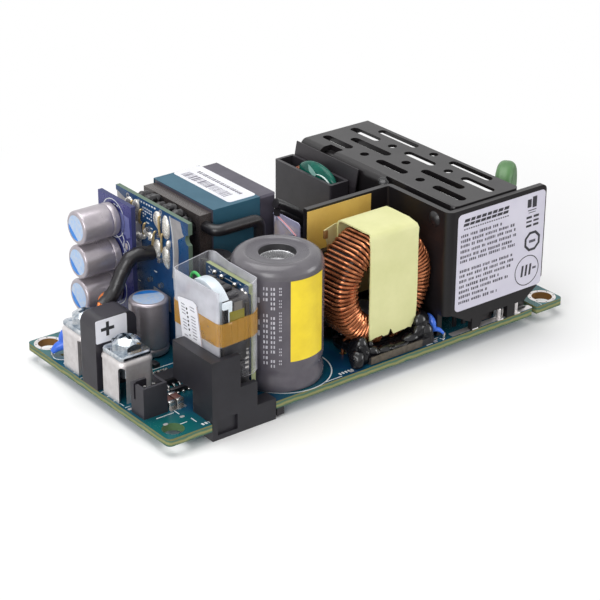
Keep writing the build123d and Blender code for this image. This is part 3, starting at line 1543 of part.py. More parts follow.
with BuildPart() as underside_diode:
    with BuildSketch(Plane.XY):
        with Locations((carrier_right + 1.3, front_edge + 1.4)):
            Rectangle(1.7, 2.4)
    extrude(amount=-1.8)
finish(underside_diode.part, "underside_diode")


# Main board, cut for the screws, the carrier, the ear slot and every lead
notch_length = carrier_length + 2 * seat_gap
with BuildPart() as main_board:
    with BuildSketch():
        RectangleRounded(board_length, board_width, board_corner_radius)
        with GridLocations(hole_spacing_x, hole_spacing_y, 2, 2):
            Circle(hole_diameter / 2, mode=Mode.SUBTRACT)
        with Locations((carrier_left - seat_gap, front_edge)):
            Rectangle(
                notch_length,
                carrier_keel_depth + seat_gap,
                align=(Align.MIN, Align.MIN),
                mode=Mode.SUBTRACT,
            )
        with Locations((right_end - ear_slot_from_end, front_edge)):
            SlotOverall(2 * ear_slot_length, ear_slot_width, rotation=90, mode=Mode.SUBTRACT)
        for places, size_x, size_y in leads.values():
            with Locations(*places):
                Rectangle(size_x + 2 * lead_gap, size_y + 2 * lead_gap, mode=Mode.SUBTRACT)
    extrude(amount=board_thickness)
finish(main_board.part, "main_board")
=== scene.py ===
from math import atan2, cos, pi, radians, sin, sqrt
from random import Random
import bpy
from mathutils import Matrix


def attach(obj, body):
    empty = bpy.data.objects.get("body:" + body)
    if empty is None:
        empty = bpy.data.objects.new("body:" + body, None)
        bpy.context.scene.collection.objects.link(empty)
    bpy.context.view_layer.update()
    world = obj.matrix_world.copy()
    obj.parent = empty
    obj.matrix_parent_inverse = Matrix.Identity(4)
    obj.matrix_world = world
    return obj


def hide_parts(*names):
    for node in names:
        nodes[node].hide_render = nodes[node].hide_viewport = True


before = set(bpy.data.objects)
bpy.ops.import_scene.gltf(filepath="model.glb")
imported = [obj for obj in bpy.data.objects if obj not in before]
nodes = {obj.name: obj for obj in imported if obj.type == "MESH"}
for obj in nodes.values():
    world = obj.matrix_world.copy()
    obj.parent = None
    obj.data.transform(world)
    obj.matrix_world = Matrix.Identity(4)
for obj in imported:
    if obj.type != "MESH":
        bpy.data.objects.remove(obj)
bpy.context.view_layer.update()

from types import SimpleNamespace

import bmesh
import bpy
from mathutils import Matrix, Vector


# Camera
# The photograph is taken from the front left, a little over a quarter of the way up, with a long lens.
# Every length in this file is in millimetres until a mesh is made from it.
MM = 0.001
camera_place = Vector((-228.6, -293.2, 183.9))
camera_back = Vector((-0.5540, -0.7119, 0.4316)).normalized()
camera_roll = radians(0.313)
level_right = Vector((0, 0, 1)).cross(camera_back).normalized()
level_up = camera_back.cross(level_right)
camera_right = level_right * cos(camera_roll) + level_up * sin(camera_roll)
camera_up = level_up * cos(camera_roll) - level_right * sin(camera_roll)
camera_data = bpy.data.cameras.new("camera")
camera_data.sensor_width = 36.0
camera_data.lens = 119.37
camera_data.clip_start = 0.01
camera = bpy.data.objects.new("camera", camera_data)
turn = Matrix((camera_right, camera_up, camera_back)).transposed()
camera.matrix_world = Matrix.Translation(camera_place * MM) @ turn.to_4x4()
bpy.context.scene.collection.objects.link(camera)
bpy.context.scene.camera = camera
bpy.context.scene.view_settings.view_transform = "Standard"


# Studio
# White paper lies under and behind the supply. A wide soft lamp hangs overhead, and two weaker ones stand at
# the front left and the front right.
def srgb(red, green, blue, alpha=1.0):
    """Colour written as 0 to 255 screen values, turned into the linear values Blender works in."""
    values = []
    for part in (red, green, blue):
        part = part / 255
        values.append(part / 12.92 if part <= 0.04045 else ((part + 0.055) / 1.055) ** 2.4)
    return (*values, alpha)


def feed(tree, made, inputs):
    """Give a node its inputs. Each is a number, a colour or the socket that feeds it."""
    for key, value in inputs.items():
        by_number = key[0] == "i" and key[1:].isdigit()
        socket = made.inputs[int(key[1:]) if by_number else key.replace("_", " ")]
        if isinstance(value, bpy.types.NodeSocket):
            tree.links.new(value, socket)
        else:
            socket.default_value = value
    return made


def node(tree, kind, setup=None, **inputs):
    """New shader node, with its inputs by name, or by number as i0, i1 and so on."""
    made = tree.nodes.new("ShaderNode" + kind)
    for key, value in (setup or {}).items():
        setattr(made, key, value)
    return feed(tree, made, inputs)


def new_material(name):
    """Empty node material with its output; returns the material, its tree and the output."""
    made = bpy.data.materials.new(name)
    made.use_nodes = True
    made.node_tree.nodes.clear()
    output = made.node_tree.nodes.new("ShaderNodeOutputMaterial")
    return made, made.node_tree, output


def reckon(tree, operation, *values):
    """Result of a maths node on numbers or sockets."""
    inputs = {f"i{k}": value for k, value in enumerate(values)}
    return node(tree, "Math", {"operation": operation}, **inputs).outputs[0]


paper, tree, output = new_material("paper")
grain = node(tree, "TexNoise", Scale=40.0, Detail=3.0)
tone = node(tree, "MapRange", Value=grain.outputs["Fac"], To_Min=0.93, To_Max=0.97)
diffuse = node(tree, "BsdfDiffuse", Color=tone.outputs["Result"])
# For glossy rays the paper glows, bright to the rear left and dim to the front right, and for transmission
# rays it glows evenly: a painted reflection, lit by no lamp, that shiny upright faces see.
place = node(tree, "TexCoord").outputs["Object"]
side = node(
    tree, "VectorMath", {"operation": "DOT_PRODUCT"}, i0=place, i1=(-0.61, 0.79, 0.0)
).outputs["Value"]
level = node(tree, "MapRange", Value=side, From_Min=-0.16, From_Max=0.14, To_Min=0.12, To_Max=1.0).outputs[0]
seen = node(tree, "LightPath").outputs
level = reckon(tree, "MAXIMUM", level, seen["Is Transmission Ray"])
painted_reflection = node(tree, "Emission", Color=(1, 1, 1, 1), Strength=level)
either = reckon(tree, "MAXIMUM", seen["Is Glossy Ray"], seen["Is Transmission Ray"])
blend = node(tree, "MixShader", i0=either, i1=diffuse.outputs[0], i2=painted_reflection.outputs[0])
# Away from the supply the paper is plain white, as in the photograph; near it the soft shadow stays.
away = node(tree, "VectorMath", {"operation": "LENGTH"}, i0=place).outputs["Value"]
far = node(tree, "MapRange", Value=away, From_Min=0.05, From_Max=0.13).outputs[0]
far = reckon(tree, "MULTIPLY", far, seen["Is Camera Ray"])
white = node(tree, "Emission", Color=(1, 1, 1, 1), Strength=1.0)
blend = node(tree, "MixShader", i0=far, i1=blend.outputs[0], i2=white.outputs[0])
tree.links.new(blend.outputs[0], output.inputs["Surface"])

floor_height = -2.2
floor_mesh = bpy.data.meshes.new("studio_floor")
shape = bmesh.new()
bmesh.ops.create_grid(shape, x_segments=8, y_segments=8, size=3.0)
bmesh.ops.translate(shape, verts=shape.verts, vec=(0, 0, (floor_height - 0.02) * MM))
shape.to_mesh(floor_mesh)
shape.free()
studio_floor = bpy.data.objects.new("studio_floor", floor_mesh)
studio_floor.data.materials.append(paper)
bpy.context.scene.collection.objects.link(studio_floor)

world = bpy.data.worlds.new("studio")
world.use_nodes = True
bpy.context.scene.world = world
tree = world.node_tree
tree.nodes.clear()
seen = node(tree, "LightPath").outputs
either = reckon(tree, "MAXIMUM", seen["Is Camera Ray"], seen["Is Transmission Ray"])
either = reckon(tree, "MAXIMUM", either, seen["Is Glossy Ray"])
lit = node(tree, "Background", Color=(1, 1, 1, 1), Strength=0.34)
white = node(tree, "Background", Color=(1, 1, 1, 1), Strength=1.0)
blend = node(tree, "MixShader", i0=either, i1=lit.outputs[0], i2=white.outputs[0])
output = tree.nodes.new("ShaderNodeOutputWorld")
tree.links.new(blend.outputs[0], output.inputs["Surface"])


def soft_lamp(name, place, target, size, power):
    """Square lamp at a place, turned to a target; both in millimetres."""
    data = bpy.data.lights.new(name, "AREA")
    data.shape = "SQUARE"
    data.size = size * MM
    data.energy = power
    lamp = bpy.data.objects.new(name, data)
    lamp.location = Vector(place) * MM
    direction = (Vector(target) - Vector(place)).normalized()
    lamp.rotation_euler = direction.to_track_quat("-Z", "Y").to_euler()
    bpy.context.scene.collection.objects.link(lamp)


soft_lamp("overhead_lamp", (-60, 60, 420), (0, 0, 10), 380, 1.45)
soft_lamp("front_left_lamp", (-420, -240, 200), (0, 0, 10), 260, 1.15)
soft_lamp("front_right_lamp", (400, -340, 90), (0, 0, 10), 220, 0.75)


# Main board
# A fibreglass board with blue-green solder mask, tinned pads, white print and small parts soldered to it.
# The supply is screwed down through its four corner holes, and every lead goes through it.
def new_group(name, inputs, outputs):
    """Empty node group. Inputs are (name, kind, first value), and outputs are (name, kind)."""
    made = bpy.data.node_groups.new(name, "ShaderNodeTree")
    for label, kind, value in inputs:
        socket = made.interface.new_socket(label, in_out="INPUT", socket_type="NodeSocket" + kind)
        socket.default_value = value
    for label, kind in outputs:
        made.interface.new_socket(label, in_out="OUTPUT", socket_type="NodeSocket" + kind)
    return made, made.nodes.new("NodeGroupInput").outputs, made.nodes.new("NodeGroupOutput").inputs


def use_group(tree, group, **inputs):
    """Node that stands for a group in a material, with its inputs by name."""
    made = tree.nodes.new("ShaderNodeGroup")
    made.node_tree = group
    return feed(tree, made, inputs)


def place_in_mm(tree):
    """Place on the supply, in millimetres."""
    place = node(tree, "TexCoord").outputs["Object"]
    return node(tree, "VectorMath", {"operation": "SCALE"}, i0=place, Scale=1 / MM).outputs[0]


def mixed(tree, share, first, second):
    """Colour between two others, by a share or a mask."""
    return node(tree, "Mix", {"data_type": "RGBA"}, i0=share, i6=first, i7=second).outputs[2]


# Slow changes of tone and gloss, with a fine grain, for anything moulded, painted or coated.
coating, given, result = new_group(
    "coating",
    [
        ("Color", "Color", (0.5, 0.5, 0.5, 1)),
        ("Shade", "Color", (0.4, 0.4, 0.4, 1)),
        ("Blotch Size", "Float", 6.0),
        ("Grain Size", "Float", 0.15),
        ("Roughness", "Float", 0.4),
        ("Spread", "Float", 0.1),
    ],
    [("Color", "Color"), ("Roughness", "Float"), ("Height", "Float")],
)
spot = place_in_mm(coating)
blotch_scale = reckon(coating, "DIVIDE", 1.0, given["Blotch Size"])
blotch = node(coating, "TexNoise", Vector=spot, Scale=blotch_scale, Detail=4.0, Roughness=0.6).outputs["Fac"]
grain_scale = reckon(coating, "DIVIDE", 1.0, given["Grain Size"])
grain = node(coating, "TexNoise", Vector=spot, Scale=grain_scale, Detail=3.0).outputs["Fac"]
amount = node(coating, "MapRange", Value=blotch, From_Min=0.35, From_Max=0.68).outputs[0]
coating.links.new(mixed(coating, amount, given["Color"], given["Shade"]), result["Color"])
uneven = reckon(
    coating, "ADD", reckon(coating, "SUBTRACT", blotch, 0.5), reckon(coating, "SUBTRACT", grain, 0.5)
)
uneven = reckon(coating, "MULTIPLY", uneven, given["Spread"])
rough = node(coating, "Math", {"operation": "ADD", "use_clamp": True}, i0=given["Roughness"], i1=uneven)
coating.links.new(rough.outputs[0], result["Roughness"])
coating.links.new(grain, result["Height"])


def coated(
    name, color, shade, roughness, spread=0.15, blotch=6.0, grain=0.15, bump=0.1, depth=0.02, **shader_inputs
):
    """Material for plastic, paint, tape or metal, with its tone, gloss and surface from the coating group."""
    made, tree, output = new_material(name)
    skin = use_group(
        tree, coating, Color=srgb(*color), Shade=srgb(*shade), Blotch_Size=blotch, Grain_Size=grain,
        Roughness=roughness, Spread=spread,
    )
    bumped = node(tree, "Bump", Strength=bump, Distance=depth * MM, Height=skin.outputs["Height"])
    shader = node(
        tree, "BsdfPrincipled", Base_Color=skin.outputs["Color"], Roughness=skin.outputs["Roughness"],
        Normal=bumped.outputs["Normal"], **shader_inputs,
    )
    tree.links.new(shader.outputs[0], output.inputs["Surface"])
    return made


def rounded(width, height, radius, steps=4):
    """Corners of a rounded rectangle about the origin, counter-clockwise."""
    points = []
    for corner in range(4):
        middle_x = (width / 2 - radius) * (1 if corner in (0, 3) else -1)
        middle_y = (height / 2 - radius) * (1 if corner in (0, 1) else -1)
        for step in range(steps + 1):
            angle = pi / 2 * (corner + step / steps)
            points.append((middle_x + radius * cos(angle), middle_y + radius * sin(angle)))
    return points


def add_patch(shape, origin, right, up, outline, thickness=0.03, index=0):
    """Flat printed or plated patch: an outline in its own plane, raised from the origin's surface."""
    origin, right, up = Vector(origin), Vector(right).normalized(), Vector(up).normalized()
    out = right.cross(up)
    top = [shape.verts.new(origin + right * a + up * b + out * thickness) for a, b in outline]
    foot = [shape.verts.new(origin + right * a + up * b) for a, b in outline]
    faces = [shape.faces.new(top)]
    for i in range(len(top)):
        j = (i + 1) % len(top)
        faces.append(shape.faces.new((foot[i], foot[j], top[j], top[i])))
    for face in faces:
        face.material_index = index


def add_ring(
    shape, origin, right, up, inner, outer, thickness=0.03, start=0.0, sweep=360.0, steps=40, index=0
):
    """Flat ring or part of one. A radius may be a pair, for the two directions of its plane."""
    origin, right, up = Vector(origin), Vector(right).normalized(), Vector(up).normalized()
    out = right.cross(up)
    inner = inner if isinstance(inner, tuple) else (inner, inner)
    outer = outer if isinstance(outer, tuple) else (outer, outer)
    count = steps if sweep >= 360 else steps + 1
    rows = []
    for level, radii in ((0, outer), (thickness, outer), (thickness, inner), (0, inner)):
        row = []
        for i in range(count):
            angle = radians(start + sweep * i / steps)
            spot = origin + right * cos(angle) * radii[0] + up * sin(angle) * radii[1] + out * level
            row.append(shape.verts.new(spot))
        rows.append(row)
    for first, second in zip(rows, rows[1:]):
        for i in range(steps):
            j = (i + 1) % count
            shape.faces.new((first[i], first[j], second[j], second[i])).material_index = index


def piece(name, shape, materials, replaced=(), flat_angle=35.0):
    mesh = bpy.data.meshes.new(name)
    bmesh.ops.recalc_face_normals(shape, faces=shape.faces)
    bmesh.ops.scale(shape, vec=(MM, MM, MM), verts=shape.verts)
    shape.to_mesh(mesh)
    shape.free()
    for material in materials:
        mesh.materials.append(material)
    mesh.polygons.foreach_set("use_smooth", [True] * len(mesh.polygons))
    mesh.set_sharp_from_angle(angle=radians(flat_angle))
    made = bpy.data.objects.new(name, mesh)
    bpy.context.scene.collection.objects.link(made)
    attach(made, "root")
    if replaced:
        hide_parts(*replaced)
    return made


def paint(material, *names):
    """Give shown CAD nodes a material."""
    for name in names:
        mesh = nodes[name].data
        mesh.materials.clear()
        mesh.materials.append(material)


def node_box(name):
    """Sides and middle of a CAD node's box, in millimetres."""
    places = [nodes[name].matrix_world @ vert.co / MM for vert in nodes[name].data.vertices]
    sides = {"middle": []}
    for axis, (low, high) in enumerate((("left", "right"), ("front", "rear"), ("bottom", "top"))):
        sides[low] = round(min(place[axis] for place in places), 2)
        sides[high] = round(max(place[axis] for place in places), 2)
        sides["middle"].append((sides[low] + sides[high]) / 2)
    return SimpleNamespace(**sides)


X, Y, Z = Vector((1, 0, 0)), Vector((0, 1, 0)), Vector((0, 0, 1))
board = node_box("main_board")
board_top, board_middle = board.top, board.middle[2]
hole_inset, hole_radius, hole_wall = 3.175, 2.2, 0.33
hole_x, hole_y = board.right - hole_inset, board.rear - hole_inset
pad_radius, dot_circle, dot_radius = 3.0, 2.62, 0.15

# The mask is teal near the corners and navy between the parts; the sawn edge shows the glass in olive layers.
board_material, tree, output = new_material("solder_mask")
spot = place_in_mm(tree)
mask = use_group(
    tree, coating, Color=srgb(16, 60, 96), Shade=srgb(14, 92, 96), Blotch_Size=16.0, Grain_Size=0.3,
    Roughness=0.24, Spread=0.18,
)
height = node(tree, "SeparateXYZ", i0=spot).outputs["Z"]
layers = node(tree, "TexNoise", Vector=spot, Scale=0.35, Detail=5.0).outputs["Fac"]
level = node(tree, "MapRange", Value=height, From_Min=0.0, From_Max=board_top).outputs[0]
edge_tone = node(tree, "ValToRGB", i0=reckon(tree, "MULTIPLY_ADD", layers, 0.5, level))
stops = edge_tone.color_ramp.elements
stops[0].position, stops[0].color = 0.22, srgb(22, 84, 92)
stops[1].position, stops[1].color = 1.0, srgb(24, 96, 100)
for position, color in (
    (0.32, (74, 104, 72)), (0.62, (148, 142, 88)), (0.85, (66, 104, 80)), (1.0, (112, 112, 64))
):
    stops.new(position).color = srgb(*color)
outer = node(tree, "VectorMath", {"operation": "ABSOLUTE"}, i0=spot).outputs[0]
hole = (hole_x, hole_y, board_middle)
apart = node(tree, "VectorMath", {"operation": "DISTANCE"}, i0=outer, i1=hole).outputs["Value"]
in_hole = reckon(tree, "LESS_THAN", apart, hole_radius + hole_wall)
# The front left hole is bare green glass; the others are plated and have turned brown.
bare_hole = (-hole_x, -hole_y, board_middle)
bare = node(tree, "VectorMath", {"operation": "DISTANCE"}, i0=spot, i1=bare_hole).outputs["Value"]
hole_tone = mixed(tree, reckon(tree, "LESS_THAN", bare, 4.0), srgb(128, 88, 32), srgb(70, 104, 62))
wall_tone = mixed(tree, in_hole, edge_tone.outputs[0], hole_tone)
near_hole = node(
    tree, "MapRange", Value=apart, From_Min=3.5, From_Max=9.0, To_Min=0.85, To_Max=0.0
).outputs[0]
mask_tone = mixed(tree, near_hole, mask.outputs["Color"], srgb(12, 96, 94))
facing = node(tree, "NewGeometry").outputs["True Normal"]
flat = reckon(tree, "ABSOLUTE", node(tree, "SeparateXYZ", i0=facing).outputs["Z"])
is_flat = reckon(tree, "GREATER_THAN", flat, 0.7)
shown = mixed(tree, is_flat, wall_tone, mask_tone)
gloss = node(tree, "Mix", i0=is_flat, i2=0.62, i3=mask.outputs["Roughness"]).outputs[0]
bumped = node(tree, "Bump", Strength=0.12, Distance=0.03 * MM, Height=mask.outputs["Height"]).outputs[0]
shader = node(tree, "BsdfPrincipled", Base_Color=shown, Roughness=gloss, Normal=bumped)
tree.links.new(shader.outputs[0], output.inputs["Surface"])
paint(board_material, "main_board")

tin = coated(
    "tin_plate", (232, 228, 228), (208, 203, 202), 0.42, spread=0.3, blotch=2.5, grain=0.12, bump=0.2,
    Metallic=0.75
)
white_ink = coated("white_ink", (226, 230, 232), (205, 212, 214), 0.6, blotch=1.5, bump=0.05)
dark_hole = coated("hole_shadow", (34, 30, 26), (22, 22, 22), 0.8)

# Plated rings round three of the holes, each with eight small plated-through dots
shape = bmesh.new()
for side_x, side_y in ((-1, 1), (1, -1), (1, 1)):
    middle = Vector((side_x * hole_x, side_y * hole_y, board_top))
    add_ring(shape, middle, X, Y, hole_radius, pad_radius)
    for k in range(8):
        angle = radians(22.5 + 45 * k)
        dot = middle + Vector((dot_circle * cos(angle), dot_circle * sin(angle), 0.03))
        add_ring(shape, dot, X, Y, 0.0, dot_radius, 0.01, steps=10, index=1)
# A wide tinned strip for the mains return runs along the front edge, under the rating plate.
add_patch(shape, (31.0, -24.3, board_top), X, Y, rounded(22.6, 1.5, 0.3))
add_patch(shape, (38.2, -22.9, board_top), X, Y, rounded(6.4, 2.4, 0.5))
for x, y in ((-49.3, 9.4), (-49.8, -11.0), (-43.6, -19.4), (-47.8, -20.0), (15.4, -24.6), (-6.4, -24.4)):
    add_patch(shape, (x, y, board_top), X, Y, rounded(1.0, 0.7, 0.3))
piece("board_pads", shape, [tin, dark_hole])

shape = bmesh.new()
add_ring(shape, (-46.4, 15.9, board_top), X, Y, (3.68, 2.38), (3.9, 2.6), 0.02)
add_ring(shape, (-48.9, 12.6, board_top), X, Y, (0.9, 0.42), (1.1, 0.62), 0.02, steps=24)
add_ring(shape, (-17.0, -15.8, board_top), X, Y, 9.6, 9.85, 0.02, start=180, sweep=220)
for place, size, turn in (
    ((-50.0, 8.2), (0.9, 0.18), 0), ((-50.0, 7.2), (0.18, 1.5), 0), ((-50.2, 5.4), (1.0, 0.16), 0),
    ((-50.2, -2.0), (1.0, 0.2), 0), ((-50.2, -4.2), (0.9, 0.16), 0), ((-50.2, -6.4), (0.9, 0.16), 0),
    ((-50.1, -8.6), (0.16, 1.4), 0), ((-49.7, -10.0), (1.2, 0.16), 0), ((-43.5, -17.0), (0.2, 2.6), 0),
    ((-46.0, -17.2), (4.0, 0.2), 0), ((-44.8, -21.6), (1.6, 0.2), 0), ((-42.6, -21.8), (0.2, 1.8), 0),
    ((15.8, -23.6), (2.6, 0.22), 0), ((15.4, -24.2), (1.8, 0.2), 0), ((17.4, -24.9), (0.9, 0.2), 25),
    ((17.2, -24.5), (0.2, 0.9), 25), ((13.6, -24.9), (1.6, 0.2), 0), ((44.8, -24.2), (0.2, 2.0), 0),
    ((-35.0, -0.2), (5.6, 0.2), 0), ((-38.6, 4.6), (0.2, 4.0), 0), ((-11.5, -24.9), (4.6, 0.2), 0),
):
    across = Matrix.Rotation(radians(turn), 3, "Z") @ X
    add_patch(shape, (*place, board_top), across, Z.cross(across), rounded(*size, min(size) / 3, 2), 0.02)
# Part references, printed as short strokes with no letters in them
for place, count in (
    ((-42.2, -24.2), 4), ((-46.8, 6.6), 3), ((-9.0, -24.0), 5), ((-36.4, -2.2), 4), ((46.4, 10.4), 3)
):
    for k in range(count):
        add_patch(shape, (place[0] + 0.75 * k, place[1], board_top), X, Y, rounded(0.45, 0.8, 0.1, 1), 0.02)
piece("board_print", shape, [white_ink])


# Screw terminals
# Two tinned steel brackets for the output wires, soldered through the board by their feet.
# Each holds a zinc plated machine screw with a square dished washer under its head.
def soften(width, *names):
    """Round the sharp edges of shown CAD nodes a little, as pressing and moulding do."""
    for name in names:
        bevel = nodes[name].modifiers.new("soft edges", "BEVEL")
        bevel.width = width * MM
        bevel.segments = 2
        bevel.limit_method = "ANGLE"
        bevel.angle_limit = radians(40)
        bevel.harden_normals = True


zinc = coated(
    "zinc_plate", (222, 226, 230), (150, 162, 174), 0.15, spread=0.2, blotch=1.3, grain=0.1, bump=0.08,
    Metallic=1.0
)
paint(tin, "screw_terminals")
paint(zinc, "terminal_washers", "terminal_screws")
soften(0.16, "screw_terminals")
soften(0.12, "terminal_washers")
soften(0.2, "terminal_screws")


# Terminal divider
# A moulded black block between the two terminals, pinned to the board.
# Its output sign is printed on a paper label, stuck to the front.
grey_plastic = coated("moulded_plastic", (46, 44, 51), (38, 36, 42), 0.4, spread=0.12, blotch=5.0, bump=0.08)
label_paper = coated("label_paper", (238, 238, 243), (228, 228, 236), 0.42, spread=0.1, blotch=3.0, bump=0.03)
black_ink = coated("black_ink", (30, 28, 30), (20, 20, 22), 0.5, blotch=1.0, bump=0.03)
paint(grey_plastic, "terminal_divider")
soften(0.25, "terminal_divider")

divider = node_box("terminal_divider")
sticker_thickness = 0.05
shape = bmesh.new()
place = (divider.left + 3.65, divider.front, divider.top - 2.6)
add_patch(shape, place, X, Z, rounded(7.1, 4.9, 0.35), sticker_thickness)
arm, half = 1.5, 0.34
sign = [
    (half, half), (arm, half), (arm, -half), (half, -half), (half, -arm), (-half, -arm), (-half, -half),
    (-arm, -half), (-arm, half), (-half, half), (-half, arm), (half, arm),
]
place = (divider.left + 2.8, divider.front - sticker_thickness, divider.top - 2.3)
add_patch(shape, place, X, Z, sign[::-1], 0.02, index=1)
piece("divider_label", shape, [label_paper, black_ink])


# Signal header
# A two-row pin header in a black moulded shroud, for the remote signals.
# Its square pins are tinned, and are soldered through the board.
solder = coated(
    "solder", (226, 224, 220), (190, 188, 186), 0.22, spread=0.35, blotch=0.8, grain=0.2, bump=0.25,
    Metallic=0.9
)
paint(grey_plastic, "signal_header")
paint(solder, "header_pins")
soften(0.1, "signal_header", "header_pins")


# Boards on edge
# The output rectifier board and the output capacitor board, both of blue fibreglass, stand on the main board
# with their tongues through it. Heavy tinned tracks carry the current on the rectifier board.
def upright_board(name, color, shade, edge, roughness=0.3):
    """Solder mask on the wide faces of a board that stands across the supply, and bare glass on its edges."""
    made, tree, output = new_material(name)
    mask = use_group(
        tree, coating, Color=srgb(*color), Shade=srgb(*shade), Blotch_Size=7.0, Grain_Size=0.25,
        Roughness=roughness, Spread=0.2,
    )
    facing = node(tree, "NewGeometry").outputs["True Normal"]
    across = reckon(tree, "ABSOLUTE", node(tree, "SeparateXYZ", i0=facing).outputs["X"])
    is_wide = reckon(tree, "GREATER_THAN", across, 0.7)
    tone = mixed(tree, is_wide, srgb(*edge), mask.outputs["Color"])
    gloss = node(tree, "Mix", i0=is_wide, i2=0.6, i3=mask.outputs["Roughness"]).outputs[0]
    bumped = node(tree, "Bump", Strength=0.1, Distance=0.03 * MM, Height=mask.outputs["Height"]).outputs[0]
    shader = node(tree, "BsdfPrincipled", Base_Color=tone, Roughness=gloss, Normal=bumped)
    tree.links.new(shader.outputs[0], output.inputs["Surface"])
    return made


def on_left(shape, x, points, thickness=0.04, index=0):
    """Patch on a face that looks along -X, from its (y, z) corners."""
    add_patch(shape, (x, 0, 0), -Y, Z, [(-y, z) for y, z in points], thickness, index)


def stroke(shape, x, start, end, width, thickness=0.03, index=0):
    """Straight printed line on a face that looks along -X, between two (y, z) places."""
    along = Vector((end[0] - start[0], end[1] - start[1]))
    side = Vector((-along.y, along.x)).normalized() * width / 2
    start, end = Vector(start), Vector(end)
    on_left(shape, x, (start + side, end + side, end - side, start - side), thickness, index)


def add_lathe(shape, place, axis, profile, steps=40, index=0):
    """Surface turned about an axis from a list of (radius, height) points."""
    place, axis = Vector(place), Vector(axis).normalized()
    side = axis.orthogonal().normalized()
    other = axis.cross(side)
    rows = []
    for radius, height in profile:
        if radius < 1e-6:
            rows.append([shape.verts.new(place + axis * height)])
            continue
        row = []
        for i in range(steps):
            angle = 2 * pi * i / steps
            spoke = side * cos(angle) + other * sin(angle)
            row.append(shape.verts.new(place + axis * height + spoke * radius))
        rows.append(row)
    for first, second in zip(rows, rows[1:]):
        for i in range(steps):
            j = (i + 1) % steps
            ring = [row[k % len(row)] for row, k in ((first, i), (first, j), (second, j), (second, i))]
            ring = list(dict.fromkeys(ring))
            if len(ring) > 2:
                shape.faces.new(ring).material_index = index


def smooth_path(points, per_span=6, closed=False):
    """Points on a smooth curve through the given ones."""
    points = [Vector(p) for p in points]
    count = len(points)
    made = []
    for i in range(count if closed else count - 1):
        if closed:
            a, b, c, d = (points[(i + k) % count] for k in (-1, 0, 1, 2))
        else:
            a, b, c, d = (points[min(max(i + k, 0), count - 1)] for k in (-1, 0, 1, 2))
        for step in range(per_span):
            t = step / per_span
            bend, twist = 2 * a - 5 * b + 4 * c - d, 3 * b - a - 3 * c + d
            made.append(0.5 * (2 * b + (c - a) * t + bend * t**2 + twist * t**3))
    if not closed:
        made.append(points[-1])
    return made


def add_tube(shape, points, radius, sides=10, index=0, closed=False, capped=True):
    """Round wire along a path. The radius may be one number or one for each point."""
    points = [Vector(p) for p in points]
    count = len(points)
    radii = radius if isinstance(radius, list) else [radius] * count
    across = None
    rows = []
    for i, point in enumerate(points):
        before = points[i - 1] if closed or i else point
        after = points[(i + 1) % count] if closed or i < count - 1 else point
        along = (after - before).normalized()
        if across is None:
            across = along.orthogonal()
        across = (across - along * across.dot(along)).normalized()
        other = along.cross(across)
        angles = [2 * pi * k / sides for k in range(sides)]
        spokes = [across * cos(angle) + other * sin(angle) for angle in angles]
        rows.append([shape.verts.new(point + spoke * radii[i]) for spoke in spokes])
    for i in range(count if closed else count - 1):
        first, second = rows[i], rows[(i + 1) % count]
        for k in range(sides):
            n = (k + 1) % sides
            shape.faces.new((first[k], first[n], second[n], second[k])).material_index = index
    if capped and not closed:
        shape.faces.new(rows[0][::-1]).material_index = index
        shape.faces.new(rows[-1]).material_index = index


def add_blob(shape, center, size, chance, lumps=0.12, detail=2, index=0, floor=None):
    """Uneven rounded lump, such as solder or glue, flat where it would go under its floor."""
    made = bmesh.ops.create_icosphere(shape, subdivisions=detail, radius=1.0)["verts"]
    shifts = [Vector((chance.uniform(-9, 9), chance.uniform(-9, 9), chance.uniform(-9, 9))) for _ in range(3)]
    for vert in made:
        wave = sum(sin(vert.co.dot(shift) * 0.35 + k) for k, shift in enumerate(shifts)) / 3
        vert.co *= 1 + lumps * wave
        vert.co = Vector((vert.co.x * size[0], vert.co.y * size[1], vert.co.z * size[2])) + Vector(center)
        if floor is not None:
            vert.co.z = max(vert.co.z, floor)
    for face in {face for vert in made for face in vert.link_faces}:
        face.material_index = index


def add_solder(shape, place, axis, radius, height, index=0):
    """Solder fillet round a lead that stands up from a board."""
    profile = [
        (radius, 0.0), (radius * 0.93, height * 0.06), (radius * 0.6, height * 0.32),
        (radius * 0.38, height * 0.7), (radius * 0.26, height), (0.0, height * 1.04),
    ]
    add_lathe(shape, place, axis, profile, steps=14, index=index)


paint(upright_board("rectifier_board_skin", (20, 78, 128), (12, 54, 98), (92, 112, 96)), "rectifier_board")
paint(upright_board("capacitor_board_skin", (58, 60, 124), (42, 48, 108), (46, 52, 96)), "capacitor_board")
soft_solder = coated(
    "heavy_solder", (232, 230, 222), (196, 192, 186), 0.26, spread=0.3, blotch=1.0, grain=0.3, bump=0.3,
    Metallic=0.55
)
dull_tin = coated(
    "dull_tin", (190, 188, 188), (168, 166, 168), 0.4, spread=0.2, blotch=3.0, bump=0.1, Metallic=0.6
)
brass_lead = coated("lead_wire", (196, 176, 132), (160, 138, 96), 0.35, blotch=1.0, bump=0.05, Metallic=0.6)
rectifier_x = node_box("rectifier_board").left
chance = Random(4)

